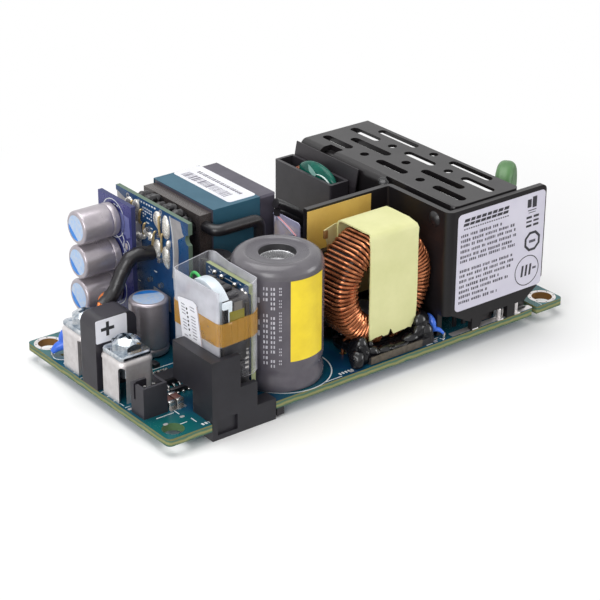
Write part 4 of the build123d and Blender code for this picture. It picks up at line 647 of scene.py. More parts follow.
shape = bmesh.new()
on_left(
    shape, rectifier_x,
    [(6.2, 30.0), (2.3, 30.1), (1.7, 28.0), (1.1, 27.5), (3.3, 26.0), (3.1, 23.4), (3.6, 17.0), (5.6, 17.0),
     (5.1, 19.6), (5.1, 22.7), (5.4, 26.4), (5.7, 28.2)],
)
on_left(
    shape, rectifier_x, [(18.7, 28.2), (17.4, 28.1), (16.5, 25.8), (16.2, 19.9), (18.3, 17.9), (19.0, 21.6)]
)
on_left(shape, rectifier_x, [(24.9, 29.6), (21.6, 28.6), (21.4, 24.6), (24.6, 25.6)])
on_left(shape, rectifier_x, [(12.4, 12.6), (6.4, 12.4), (6.2, 9.0), (12.2, 9.2)])
for y, z, radius in ((9.2, 29.9, 0.5), (20.9, 29.6, 0.6)):
    add_ring(shape, (rectifier_x, y, z), -Y, Z, radius * 0.5, radius, 0.04, steps=20)
for y, z in ((1.6, 14.2), (2.4, 6.4), (8.0, 6.0), (14.6, 8.0), (19.6, 9.4), (22.6, 5.0)):
    add_patch(shape, (rectifier_x, y, z), -Y, Z, rounded(0.9, 1.3, 0.3), 0.04)
piece("rectifier_tracks", shape, [dull_tin])

shape = bmesh.new()
for (y, z), size in (
    ((20.3, 28.1), (1.3, 1.5)), ((17.7, 27.6), (1.1, 2.6)), ((10.2, 28.0), (1.3, 1.9)),
    ((7.2, 27.4), (1.2, 2.5)), ((10.5, 21.5), (1.2, 2.0)), ((7.2, 20.9), (1.1, 2.4)),
    ((13.9, 24.0), (1.4, 0.9)), ((15.2, 22.8), (0.8, 0.7)), ((17.1, 21.9), (0.9, 1.2)),
    ((12.3, 23.4), (1.0, 0.8)), ((6.4, 24.0), (0.6, 1.1)),
):
    add_blob(shape, (rectifier_x - 0.05, y, z), (0.75, size[0], size[1]), chance, lumps=0.22, detail=3)
piece("rectifier_solder", shape, [soft_solder])

shape = bmesh.new()
for (y0, z0), (y1, z1) in (
    ((11.0, 24.8), (11.7, 22.0)), ((8.3, 25.2), (8.4, 22.0)), ((9.2, 28.6), (8.9, 25.2)),
    ((15.9, 27.9), (16.2, 25.6)), ((14.6, 25.4), (14.9, 23.6)), ((19.0, 28.8), (18.8, 26.8)),
):
    out_x = rectifier_x - 0.5
    path = smooth_path([
        (rectifier_x, y0, z0 + 0.3), (out_x, y0, z0), (out_x, y1, z1), (rectifier_x, y1, z1 - 0.3)
    ])
    add_tube(shape, path, 0.26, sides=8)
piece("rectifier_wires", shape, [brass_lead])

shape = bmesh.new()
for k in range(7):
    start = 17.2 - k * 0.95
    stroke(shape, rectifier_x, (start, 29.85 + 0.03 * k), (start - 0.55, 29.87 + 0.03 * k), 0.35)
for k in range(5):
    for row in range(4):
        if chance.random() < 0.85:
            y, z = 15.6 - k * 0.72, 28.9 - row * 0.62
            stroke(shape, rectifier_x, (y, z), (y - 0.4, z + chance.uniform(-0.1, 0.1)), 0.28)
for y, z in ((14.4, 26.0), (13.2, 25.2), (4.6, 12.8), (4.4, 8.4), (12.0, 16.2), (18.0, 12.0)):
    stroke(shape, rectifier_x, (y, z), (y - 1.0, z), 0.22)
outline = [(5.9, 30.2), (5.5, 28.3), (5.0, 26.3), (4.8, 22.0), (5.1, 19.0), (4.9, 14.5)]
for first, second in zip(outline, outline[1:]):
    stroke(shape, rectifier_x - 0.04, first, second, 0.16)
piece("rectifier_print", shape, [white_ink])

# The rear board carries the three lying capacitors, and their leads are soldered on its far side.
cap_board = node_box("capacitor_board")
lying = node_box("lying_capacitors")
lying_y, lying_radius = lying.middle[1], (lying.rear - lying.front) / 2
lying_heights = (lying.bottom + lying_radius, lying.middle[2], lying.top - lying_radius)
shape = bmesh.new()
on_left(
    shape, cap_board.left,
    [(18.3, 28.3), (14.1, 28.0), (13.8, 24.0), (15.0, 23.2), (15.6, 23.9), (16.9, 24.1), (18.2, 25.0)], 0.03
)
piece(
    "capacitor_board_copper", shape, [coated("masked_copper", (112, 116, 164), (92, 98, 150), 0.3)]
)
shape = bmesh.new()
for y, z in ((15.3, 21.5), (15.0, 18.8)):
    add_ring(shape, (cap_board.left, y, z), -Y, Z, 0.0, (0.5, 0.75), 0.05, steps=24)
for z in lying_heights:
    for y in (lying_y - 1.25, lying_y + 1.25):
        add_solder(shape, (cap_board.right, y, z), X, 0.9, 0.9)
piece("capacitor_board_pads", shape, [solder])
shape = bmesh.new()
for z in lying_heights:
    add_ring(
        shape, (cap_board.left, lying_y, z), -Y, Z, lying_radius + 0.45, lying_radius + 0.62, 0.03, steps=48
    )
for start, end in (
    ((17.1, 24.6), (16.1, 22.6)), ((16.1, 22.6), (16.4, 20.8)), ((15.9, 17.4), (16.9, 14.6)),
    ((19.5, 29.4), (18.9, 29.3)), ((18.5, 29.35), (17.9, 29.25)), ((17.5, 29.2), (16.9, 29.1)),
    ((16.6, 19.6), (16.0, 19.4)), ((16.7, 19.0), (16.1, 18.7)), ((17.0, 18.4), (16.3, 18.2)),
    ((16.9, 17.7), (16.2, 17.5)),
):
    stroke(shape, cap_board.left, start, end, 0.2)
for z in (21.5, 18.8):
    add_ring(
        shape, (cap_board.left, 15.15, z), -Y, Z, (0.85, 1.15), (1.0, 1.3), 0.03, start=-150, sweep=240,
        steps=24,
    )
piece("capacitor_board_print", shape, [white_ink])


# Polymer output capacitors
# Drawn aluminium cans rolled in over a rubber seal. A blue segment on the end marks the negative side.
can = coated(
    "aluminium_can", (184, 177, 182), (168, 161, 167), 0.3, spread=0.12, blotch=3.0, grain=0.1, bump=0.05,
    Metallic=0.5
)
can_end = coated(
    "printed_can_end", (196, 206, 222), (160, 194, 234), 0.42, spread=0.1, blotch=0.9, grain=0.12, bump=0.05,
    Metallic=0.2
)
blue_ink = coated("blue_ink", (40, 134, 222), (30, 118, 208), 0.4, blotch=1.5, bump=0.03)
rubber = coated("rubber_seal", (30, 29, 32), (22, 22, 24), 0.6)


def capacitor(shape, place, axis, radius, length, mark):
    """Can on its rubber seal. The blue mark on its far end lies toward the given direction."""
    add_lathe(
        shape, place, axis, [(radius * 0.78, 0.0), (radius * 0.84, 0.5), (radius * 0.84, 0.9)], 40, index=1
    )
    shoulder, rim, dip = length - 0.62, radius - 0.84, 0.06
    profile = [
        (radius * 0.8, 0.32), (radius * 0.9, 0.3), (radius * 0.955, 0.42), (radius * 0.985, 0.8),
        (radius, 1.5), (radius * 0.985, 1.75), (radius * 0.955, 1.9), (radius * 0.985, 2.1), (radius, 2.35),
        (radius, length * 0.55), (radius, shoulder),
    ]
    for k in range(1, 6):
        angle = pi / 2 * k / 5
        profile.append((radius - 0.55 * (1 - cos(angle)), shoulder + 0.6 * sin(angle)))
    profile.append((rim - 0.01, length - dip))
    add_lathe(shape, place, axis, profile, 48)
    face = Vector(place) + Vector(axis) * (length - dip)
    up = Vector(mark).normalized()
    right = up.cross(Vector(axis))
    add_ring(shape, face, right, up, 0.0, rim, 0.02, steps=48, index=2)
    chord = radians(34)
    angles = [pi - chord - (pi - 2 * chord) * k / 20 for k in range(21)]
    segment = [(rim * cos(angle), rim * sin(angle)) for angle in angles]
    add_patch(shape, face + Vector(axis) * 0.02, right, up, segment, 0.012, index=3)


shape = bmesh.new()
lower_left = Y * 0.63 - Z * 0.777
for z in lying_heights:
    capacitor(shape, (cap_board.left, lying_y, z), -X, lying_radius, lying.right - lying.left, lower_left)
piece("lying_capacitor_cans", shape, [can, rubber, can_end, blue_ink], ["lying_capacitors"])

shape = bmesh.new()
upright = node_box("upright_capacitor")
x, middle_y, _ = upright.middle
capacitor(
    shape, (x, middle_y, board_top), Z, (upright.right - upright.left) / 2, upright.top - board_top,
    X * 0.37 + Y * 0.93,
)
for y in (middle_y - 1.75, middle_y + 1.75):
    add_tube(shape, [(x, y, board_top + 0.3), (x, y, -2.0)], 0.3, sides=8, index=4)
piece("upright_capacitor_can", shape, [can, rubber, can_end, blue_ink, solder], ["upright_capacitor"])


# Output lead
# A short copper wire from the rectifier board down to the main board, in a black heat-shrink sleeve.
# Two of its strands are left bare beside the sleeve, and are soldered with it.
copper = coated("bare_copper", (224, 138, 82), (190, 104, 58), 0.3, blotch=0.8, bump=0.08, Metallic=0.85)
black_sleeve = coated(
    "black_sleeve", (36, 34, 37), (24, 23, 26), 0.32, spread=0.2, blotch=2.0, grain=0.4, bump=0.3, depth=0.05
)
shape = bmesh.new()
lead = smooth_path([
    (-28.9, 11.5, 20.6), (-33.6, 11.6, 20.9), (-36.2, 11.6, 18.2), (-38.2, 11.55, 14.6), (-41.1, 11.5, 12.2)
])
add_tube(shape, lead, [1.5 + 0.12 * sin(2.3 * i) * sin(0.7 * i) for i in range(len(lead))], sides=18)
piece("shrunk_sleeve", shape, [black_sleeve], ["output_sleeve"])
paint(copper, "output_wire")
shape = bmesh.new()
for bend in (
    [(-38.4, 12.6, 14.2), (-39.8, 12.9, 13.9), (-40.9, 12.8, 13.0), (-41.4, 12.2, 11.4)],
    [(-38.8, 11.9, 13.9), (-40.3, 12.0, 13.8), (-41.6, 11.9, 12.7), (-41.9, 11.5, 11.0)],
):
    add_tube(shape, smooth_path(bend), 0.42, sides=10)
piece("copper_strands", shape, [copper])


# Bulk capacitor
# An aluminium electrolytic can in a grey shrunk sleeve, cut open over the dished end of the can.
# A plain yellow sticker and columns of small printed marks are on its side.
sleeve_skin = coated("capacitor_sleeve", (98, 94, 101), (86, 82, 90), 0.2, spread=0.1, blotch=5.0, bump=0.06)
sleeve_shoulder = coated(
    "sleeve_shoulder", (102, 99, 104), (90, 87, 92), 0.24, spread=0.12, blotch=4.0, bump=0.06
)
sleeve_end = coated("sleeve_end", (82, 79, 86), (72, 69, 76), 0.3, spread=0.12, blotch=4.0, bump=0.06)
can_dish = coated(
    "can_dish", (226, 226, 228), (150, 150, 154), 0.22, spread=0.3, blotch=0.8, grain=0.2, bump=0.3,
    Metallic=0.8
)
yellow_label = coated("yellow_label", (246, 219, 42), (230, 201, 38), 0.4, spread=0.1, blotch=6.0, bump=0.04)
sleeve_ink = coated("sleeve_ink", (202, 200, 208), (176, 174, 182), 0.4, blotch=1.0, bump=0.02)
bulk = node_box("bulk_capacitor_sleeve")
bulk_x, bulk_y, _ = bulk.middle
bulk_radius = (bulk.right - bulk.left) / 2
shape = bmesh.new()
profile = [
    (8.2, 1.62), (8.85, 1.75), (9.08, 2.3), (bulk_radius, 3.2), (9.0, 4.1), (8.75, 4.75), (8.66, 5.3),
    (8.75, 5.85), (9.0, 6.5), (bulk_radius, 7.3), (bulk_radius, 16.0), (bulk_radius, 25.4),
]
add_lathe(shape, (bulk_x, bulk_y, 0), Z, profile, 96)
profile = [
    (bulk_radius, 25.4), (9.07, 25.95), (8.9, 26.6), (8.55, 27.2), (8.05, 27.65), (7.4, 27.95), (6.8, 28.02),
    (6.35, 27.95), (6.15, 27.75),
]
add_lathe(shape, (bulk_x, bulk_y, 0), Z, profile, 96, index=1)
profile = [(6.15, 27.75), (6.05, 27.7), (4.2, 27.76), (3.85, 27.74), (3.7, 27.62)]
add_lathe(shape, (bulk_x, bulk_y, 0), Z, profile, 96, index=2)
# The inner wall of the opening takes the near-black rubber material instead of the grey sleeve: painted shade
# inside the recess.
add_lathe(shape, (bulk_x, bulk_y, 0), Z, [(3.7, 27.62), (3.62, 27.2), (3.6, 26.1)], 96, index=3)
piece(
    "bulk_sleeve", shape, [sleeve_skin, sleeve_shoulder, sleeve_end, rubber],
    ["bulk_capacitor_sleeve"], 50,
)
shape = bmesh.new()
profile = [
    (8.0, 1.7), (8.0, 25.9), (7.0, 26.4), (3.58, 26.4), (3.5, 26.35), (3.2, 26.2), (1.6, 26.05), (1.0, 26.2),
    (0.0, 26.25),
]
add_lathe(shape, (bulk_x, bulk_y, 0), Z, profile, 64)
for y in (bulk_y - 5.0, bulk_y + 5.0):
    add_tube(shape, [(bulk_x, y, 1.9), (bulk_x, y, -2.1)], 0.4, sides=10, index=1)
piece("bulk_can", shape, [can_dish, solder], ["bulk_capacitor_can"])


def on_bulk(shape, start, stop, bottom, top, lift=0.03, steps=14, index=0):
    """Printed field on the side of the bulk capacitor, between two angles in degrees and two heights."""
    rows = []
    for k in range(steps + 1):
        angle = radians(start + (stop - start) * k / steps)
        side = Vector((cos(angle), sin(angle), 0)) * (bulk_radius + lift)
        rows.append([shape.verts.new((bulk_x + side.x, bulk_y + side.y, z)) for z in (bottom, top)])
    for first, second in zip(rows, rows[1:]):
        shape.faces.new((first[0], second[0], second[1], first[1])).material_index = index


shape = bmesh.new()
on_bulk(shape, -111, -58, 8.3, 25.35, 0.06, 24)
piece("bulk_sticker", shape, [yellow_label])
shape = bmesh.new()
for angle, width, height, gap in (
    (-152.0, 6.6, 1.1, 1.2), (-141.5, 5.4, 0.62, 0.5), (-132.5, 5.0, 0.6, 0.42), (-123.5, 3.0, 0.34, 0.3)
):
    z = 24.2
    while z > 7.8:
        if chance.random() < 0.82:
            left_stop = angle - width * chance.uniform(0.12, 0.3)
            right_start = angle + width * chance.uniform(0.0, 0.2)
            on_bulk(shape, angle - width / 2, left_stop, z - height, z, 0.025, 2)
            on_bulk(shape, right_start, angle + width / 2, z - height, z, 0.025, 2)
        z -= height + gap
piece("bulk_print", shape, [sleeve_ink])


# Auxiliary supply
# A small transformer on a blue board, wrapped in clear film with a band of amber tape round it.
# The board stands in a black moulded carrier at the edge of the main board.
def add_box(shape, center, size, bevel=0.0, segments=2, turn=None, index=0):
    """Block with rounded edges, turned about its own centre."""
    made = bmesh.ops.create_cube(shape, size=1.0)["verts"]
    bmesh.ops.scale(shape, vec=size, verts=made)
    edges = list({edge for vert in made for edge in vert.link_edges})
    if bevel:
        made_faces = bmesh.ops.bevel(
            shape, geom=edges, offset=bevel, segments=segments, profile=0.5, affect="EDGES",
            clamp_overlap=True
        )["faces"]
        made = list({vert for face in made_faces for vert in face.verts} | {v for v in made if v.is_valid})
    faces = {face for vert in made for face in vert.link_faces}
    for face in faces:
        face.material_index = index
    if turn is not None:
        bmesh.ops.rotate(shape, verts=made, cent=(0, 0, 0), matrix=turn)
    bmesh.ops.translate(shape, verts=made, vec=center)


carrier_plastic = coated(
    "carrier_plastic", (38, 37, 43), (31, 30, 35), 0.42, spread=0.14, blotch=5.0, bump=0.08
)
black_plastic = coated("black_plastic", (34, 32, 36), (26, 25, 29), 0.38, spread=0.15, blotch=4.0, bump=0.08)
grey_ink = coated("grey_ink", (128, 126, 138), (108, 106, 118), 0.5, blotch=1.0, bump=0.03)
ferrite = coated("ferrite", (42, 38, 39), (32, 29, 31), 0.42, spread=0.2, blotch=2.0, grain=0.1, bump=0.15)
paint(carrier_plastic, "aux_carrier")
soften(0.2, "aux_carrier")
paint(upright_board("aux_board_skin", (18, 74, 120), (10, 54, 92), (152, 160, 118)), "aux_board")
paint(ferrite, "aux_core")
soften(0.3, "aux_core")
paint(black_plastic, "aux_bobbin", "aux_controller")
paint(coated("winding_tape", (206, 178, 70), (180, 150, 52), 0.35, blotch=3.0), "aux_winding")
aux_x = node_box("aux_board").left
shape = bmesh.new()
for y, z in ((-10.4, 24.3), (-12.6, 24.2), (-16.9, 24.1), (-19.3, 23.8), (-20.3, 23.5), (-18.2, 23.0)):
    add_blob(shape, (aux_x - 0.25, y, z), (0.55, 0.5, 0.5), chance, lumps=0.15, detail=2)
for z in (12.1, 11.1, 10.1, 9.1, 8.1):
    add_patch(shape, (aux_x, -20.2, z), -Y, Z, rounded(1.1, 0.5, 0.24, 3), 0.12)
    add_patch(shape, (-31.1, -23.05, z + 1.7), X, Z, rounded(0.9, 0.5, 0.2, 3), 0.15)
for y, z in ((-20.6, 5.2), (-18.6, 4.6), (-16.2, 4.8)):
    add_solder(shape, (aux_x, y, z), -X, 0.5, 0.5)
piece("aux_solder", shape, [solder])
shape = bmesh.new()
for y, z in (
    (-7.9, 24.6), (-8.5, 24.2), (-7.9, 23.6), (-8.5, 23.0), (-8.0, 22.4), (-11.6, 24.9), (-15.0, 24.8),
    (-18.0, 24.6),
):
    stroke(shape, aux_x, (y, z), (y - 0.5, z - 0.1), 0.22)
stroke(shape, aux_x, (-13.2, 24.1), (-16.2, 24.1), 0.12)
stroke(shape, aux_x, (-9.4, 24.5), (-9.9, 23.7), 0.12)
piece("aux_print", shape, [white_ink])
shape = bmesh.new()
for y, z in ((-20.1, 13.9), (-19.6, 14.6)):
    add_box(shape, (aux_x - 0.3, y, z), (0.6, 1.6, 0.5), 0.08)
add_box(shape, (aux_x - 0.45, -18.2, 10.0), (0.9, 2.2, 3.2), 0.12)
add_box(shape, (-33.9, -23.3, 13.9), (5.0, 0.4, 3.6), 0.12)
piece("aux_chips", shape, [black_plastic])

# White tape over the end of the winding, a green lead beside it and a pink one under it
wrap_tape = coated("white_tape", (226, 234, 240), (208, 220, 228), 0.36, spread=0.15, blotch=3.0, bump=0.1)
shape = bmesh.new()
outline = [
    (-12.6, 15.0), (-12.8, 23.5), (-14.4, 25.4), (-16.4, 26.1), (-18.6, 26.2), (-20.4, 25.7), (-21.6, 24.7),
    (-22.3, 23.3), (-22.5, 21.5), (-22.5, 15.0),
]
outline = smooth_path([(y, z, 0) for y, z in outline], 4)
for level, face_up in ((-36.7, True), (-35.75, False)):
    row = [shape.verts.new((level, y, z)) for y, z, _ in outline]
    shape.faces.new(row if face_up else row[::-1])
shape.verts.ensure_lookup_table()
count = len(outline)
for i in range(count):
    j = (i + 1) % count
    shape.faces.new((shape.verts[i], shape.verts[j], shape.verts[count + j], shape.verts[count + i]))
edges = [edge for edge in shape.edges if abs(edge.verts[0].co.x - edge.verts[1].co.x) < 0.01]
bmesh.ops.bevel(shape, geom=edges, offset=0.22, segments=2, profile=0.5, affect="EDGES")
outline = [
    (-13.2, 24.45), (-13.8, 26.1), (-15.4, 27.1), (-17.4, 27.4), (-19.4, 26.9), (-21.0, 25.8), (-22.2, 24.45)
]
outline = smooth_path([(y, z, 0) for y, z in outline], 4)
rows = [[shape.verts.new((level, y, z)) for y, z, _ in outline] for level in (-36.7, -36.45, -34.7, -34.4)]
for row in (rows[0], rows[-1]):
    for vert in row:
        vert.co.z = 24.45 + (vert.co.z - 24.45) * 0.93
    shape.faces.new(row)
for first, second in zip(rows, rows[1:]):
    for i in range(len(outline)):
        j = (i + 1) % len(outline)
        shape.faces.new((first[i], first[j], second[j], second[i]))
add_box(shape, (-35.55, -23.2, 22.3), (2.2, 0.4, 4.8), 0.15)
piece("aux_wrap", shape, [wrap_tape])
shape = bmesh.new()
for center, size in (
    ((-33.0, -15.9, 24.9), (2.6, 3.2, 1.2)), ((-32.8, -18.9, 25.0), (2.2, 1.6, 1.4)),
    ((-32.2, -13.3, 24.8), (2.4, 1.2, 1.0)), ((-32.9, -21.0, 24.7), (2.4, 1.6, 0.9)),
):
    add_box(shape, center, size, 0.35, 3, Matrix.Rotation(0.06, 3, "Z"))
piece("aux_core_clamp", shape, [black_plastic])
green_lead = coated("green_lead", (66, 190, 96), (44, 160, 76), 0.3, spread=0.1, blotch=1.5, bump=0.04)
pink_lead = coated("pink_lead", (226, 120, 140), (208, 96, 118), 0.3, spread=0.1, blotch=1.5, bump=0.04)
shape = bmesh.new()
green_loop = [
    (-35.0, -10.4, 24.2), (-35.0, -11.2, 26.0), (-35.1, -12.4, 26.6), (-35.2, -13.8, 26.3),
    (-35.3, -14.7, 25.4), (-35.3, -15.0, 24.2),
]
inner_loop = [
    (-35.6, -12.0, 24.0), (-35.7, -12.6, 25.1), (-35.7, -13.9, 25.6), (-35.6, -14.8, 25.0),
    (-35.5, -15.3, 23.8),
]
pink_end = [(-36.3, -11.2, 23.2), (-36.5, -12.4, 24.4), (-36.4, -13.8, 24.8), (-36.3, -15.2, 25.4)]
for loop, radius, sides, color_index in (
    (green_loop, 0.3, 10, 0), (inner_loop, 0.24, 10, 0), (pink_end, 0.22, 8, 1)
):
    add_tube(shape, smooth_path(loop), radius, sides=sides, index=color_index)
piece("aux_leads", shape, [green_lead, pink_lead])
shape = bmesh.new()
for x, size in ((-36.0, 1.4), (-34.1, 1.1), (-32.5, 1.4), (-31.0, 0.9)):
    add_box(shape, (x, -23.2, 18.6), (size, 0.4, 9.6), 0.14)
piece(
    "aux_core_legs", shape, [coated("core_leg", (48, 43, 40), (36, 32, 30), 0.4, blotch=2.0, bump=0.12)],
)
shape = bmesh.new()
add_box(shape, (-33.5, -23.42, 21.5), (3.4, 0.14, 2.1), 0.05)
add_box(shape, (-33.2, -23.42, 23.4), (1.9, 0.12, 1.7), 0.05, index=1)
piece(
    "aux_inner_tape", shape,
    [
        coated("olive_tape", (128, 118, 22), (104, 96, 16), 0.34),
        coated("grey_tape", (104, 100, 94), (88, 84, 80), 0.34),
    ],
)

# Clear film: glossy, more opaque on its left faces and its cut rims than on its front faces; the whiter left
# side and bright rims are a painted sheen, for light falling from the left.
# It is seen through, so it has an alpha.
film_front = node_box("aux_film").front + 0.51
film_sheen_alpha, given, result = new_group(
    "film_sheen_alpha", [("Left", "Float", 0.5), ("Front", "Float", 0.1), ("Rim", "Float", 0.8)],
    [("Alpha", "Float")]
)
facing = node(film_sheen_alpha, "NewGeometry").outputs["True Normal"]
facing = node(film_sheen_alpha, "SeparateXYZ", i0=facing).outputs
spot = place_in_mm(film_sheen_alpha)
cloud = node(film_sheen_alpha, "TexNoise", Vector=spot, Scale=0.22, Detail=3.0).outputs["Fac"]
cloud = node(
    film_sheen_alpha, "MapRange", Value=cloud, From_Min=0.3, From_Max=0.7, To_Min=0.75, To_Max=1.2
).outputs[0]
to_left = reckon(film_sheen_alpha, "ABSOLUTE", facing["X"])
side = node(film_sheen_alpha, "Mix", i0=to_left, i2=given["Front"], i3=given["Left"]).outputs[0]
side = reckon(film_sheen_alpha, "MULTIPLY", side, cloud)
upward = reckon(film_sheen_alpha, "ABSOLUTE", facing["Z"])
amount = node(film_sheen_alpha, "Mix", i0=upward, i2=side, i3=given["Rim"]).outputs[0]
# The painted rim sheen is left off the front edge, which keeps the front opacity.
in_front = reckon(film_sheen_alpha, "LESS_THAN", node(film_sheen_alpha, "SeparateXYZ", i0=spot).outputs["Y"], film_front)
amount = node(film_sheen_alpha, "Mix", i0=in_front, i2=amount, i3=given["Front"]).outputs[0]
film_sheen_alpha.links.new(amount, result["Alpha"])


def clear_film(name, color, left, front, rim, roughness=0.12):
    """Thin clear plastic with the given opacity on its left faces, its front faces and its cut rims; the
    opacity differs by face as a painted sheen.
    """
    made, tree, output = new_material(name)
    skin = use_group(
        tree, coating, Color=srgb(*color), Shade=srgb(*(max(part - 12, 0) for part in color)),
        Blotch_Size=6.0, Roughness=roughness, Spread=0.1,
    )
    amount = use_group(tree, film_sheen_alpha, Left=left, Front=front, Rim=rim)
    shader = node(
        tree, "BsdfPrincipled", Base_Color=skin.outputs["Color"], Roughness=skin.outputs["Roughness"],
        Alpha=amount.outputs["Alpha"],
    )
    tree.links.new(shader.outputs[0], output.inputs["Surface"])
    return made


# Both take the painted sheen by face: whiter on the left faces and rims, where light falls, and nearly clear
# on the front.
paint(clear_film("clear_film", (222, 222, 230), 0.58, 0.02, 0.6), "aux_film")
paint(clear_film("amber_tape", (206, 154, 62), 0.6, 0.48, 0.7, 0.2), "aux_tape_band")

label_x = node_box("aux_tape_band").left - 0.03
shape = bmesh.new()
on_left(
    shape, label_x,
    [(-10.5, 21.7), (-11.0, 22.0), (-15.4, 22.6), (-16.4, 22.3), (-16.9, 21.8), (-18.9, 11.6), (-12.2, 11.6)],
    sticker_thickness,
)
ink_x = label_x - sticker_thickness
dots = (
    (-13.4, 20.3), (-13.6, 19.5), (-13.8, 18.7), (-13.9, 17.9), (-14.0, 17.1), (-14.2, 16.2), (-14.4, 15.1),
    (-14.7, 14.0),
)
for k, (y, z) in enumerate(dots):
    add_ring(shape, (ink_x, y, z), -Y, Z, 0.0, 0.26 if k < 6 else 0.2, 0.02, steps=12, index=1)
for row in range(15):
    z = 20.9 - row * 0.62
    slide = (21.5 - z) * 0.16
    for left, right, rise, gaps in ((-11.5, -12.7, 0.0, (4, 9)), (-14.4, -15.8, 0.25, (2, 11))):
        if row not in gaps:
            end = (right - slide * chance.uniform(0.8, 1.1), z + rise - 0.02)
            stroke(shape, ink_x, (left - slide, z + rise), end, 0.17, 0.02, 2)
stroke(shape, label_x - 0.02, (-16.75, 21.9), (-18.8, 11.6), 0.14, 0.04, 3)
piece(
    "aux_label", shape,
    [label_paper, black_ink, grey_ink, coated("label_edge", (142, 84, 76), (120, 66, 58), 0.5)],
)


# Boost choke
# Enamelled copper wire wound in one layer round a coated powder core, doubled on the inside of the ring.
# It stands on edge in a black base, held down by dark glue, with a belt of pale yellow tape over it.
enamel = coated(
    "enamelled_copper", (200, 128, 86), (144, 82, 52), 0.24, spread=0.14, blotch=1.6, grain=0.12, bump=0.08,
    Metallic=0.72
)
core_coat = coated("core_coat", (44, 26, 20), (30, 18, 15), 0.5)
paint(core_coat, "choke_core")
ring_x, ring_y, ring_z = node_box("choke_core").middle
turns, gap_angle, wire = 74, 14.0, 0.33
shape = bmesh.new()
outer, inner, half = 12.05, 7.2, 4.2
loop = [
    (outer, -2.5), (outer, -0.8), (outer, 0.8), (outer, 2.5), (outer - 0.2, 3.3), (outer - 0.7, 3.95),
    (outer - 1.5, half + 0.1), (9.4, half + 0.16), (8.2, half - 0.02), (inner + 0.4, 3.75), (inner, 3.0),
    (inner, 1.0), (inner, -1.0), (inner, -3.0), (inner + 0.4, -3.75), (8.2, -half + 0.02),
    (9.4, -half - 0.16), (outer - 1.5, -half - 0.1), (outer - 0.7, -3.95), (outer - 0.2, -3.3),
]
path = []
pitch = (360 - gap_angle) / turns
for number in range(turns):
    lift = 0.0 if number % 2 else -0.42
    slip = chance.uniform(-0.9, 0.9)
    bulge = chance.uniform(-0.05, 0.09)
    for k, (radius, across) in enumerate(loop):
        share = (number + k / len(loop)) * pitch
        angle = radians(-90 + gap_angle / 2 + share + slip * (1 if radius < 9 else 0.25))
        near = radius < 8.4
        radius += lift if near else bulge
        if not near:
            across *= 1 + bulge * 0.3
        path.append((ring_x + radius * cos(angle), ring_y + across, ring_z + radius * sin(angle)))
add_tube(shape, path, wire, sides=8)
for side in (-1, 1):
    foot = (ring_x + side * 7.5, ring_y, -2.0)
    top = path[0] if side > 0 else path[-1]
    add_tube(
        shape, smooth_path([top, (ring_x + side * 6.0, ring_y, 4.6), (foot[0], foot[1], 3.0), foot]), wire,
        sides=8,
    )
piece("choke_turns", shape, [enamel], ["choke_winding"])

choke_black = coated("choke_base_plastic", (36, 34, 36), (26, 24, 27), 0.42)
paint(choke_black, "choke_base")
soften(0.3, "choke_base")
glue = coated(
    "dark_glue", (18, 18, 22), (11, 11, 14), 0.2, spread=0.2, blotch=1.5, grain=0.6, bump=0.3, depth=0.06
)
shape = bmesh.new()
for x, y, z, size in (
    (-2.6, -22.2, 4.2, (2.2, 2.2, 3.2)), (-4.2, -23.5, 3.0, (1.6, 1.4, 2.1)),
    (0.2, -23.0, 3.0, (1.9, 1.4, 1.7)), (-1.6, -19.4, 3.2, (1.6, 2.2, 1.8)),
    (3.6, -22.9, 2.9, (2.6, 1.5, 0.9)), (7.4, -22.8, 2.9, (3.0, 1.5, 0.8)),
    (10.2, -22.6, 3.2, (2.4, 1.6, 1.3)), (12.4, -22.5, 3.7, (2.1, 1.8, 2.5)),
    (14.2, -23.0, 3.4, (1.7, 1.5, 2.5)), (13.3, -22.3, 5.7, (1.9, 1.5, 2.3)),
    (13.6, -18.6, 3.6, (1.9, 3.0, 2.4)), (-2.2, -17.0, 3.0, (1.2, 3.0, 1.4)),
    (11.0, -14.4, 3.4, (2.6, 1.6, 1.2)), (2.0, -13.6, 3.4, (3.0, 1.2, 1.0)),
    (4.6, -17.3, 3.3, (6.4, 3.4, 0.7)),
):
    add_blob(shape, (x, y, z), size, chance, lumps=0.24, detail=3, floor=board_top)
for x, y, z in (
    (-3.6, -23.6, 5.6), (-2.2, -24.0, 4.2), (-5.2, -24.0, 3.6), (-0.4, -22.9, 5.2), (0.6, -24.0, 3.4),
    (4.0, -23.9, 3.2),
):
    add_blob(shape, (x, y, z), (0.6, 0.6, 0.55), chance, lumps=0.2, detail=2)
add_blob(shape, (3.9, -17.2, 9.3), (3.0, 4.3, 1.7), chance, lumps=0.12, detail=3, index=1)
piece(
    "choke_glue", shape, [glue, coated("grey_glue", (78, 82, 92), (60, 64, 74), 0.2, spread=0.15, bump=0.1)],
)
shape = bmesh.new()
add_box(shape, (4.9, -24.86, 2.5), (13.4, 0.3, 1.6), 0.12)
piece(
    "choke_base_lip", shape, [coated("resin_edge", (88, 80, 68), (64, 57, 48), 0.55, blotch=0.8, bump=0.2)],
)

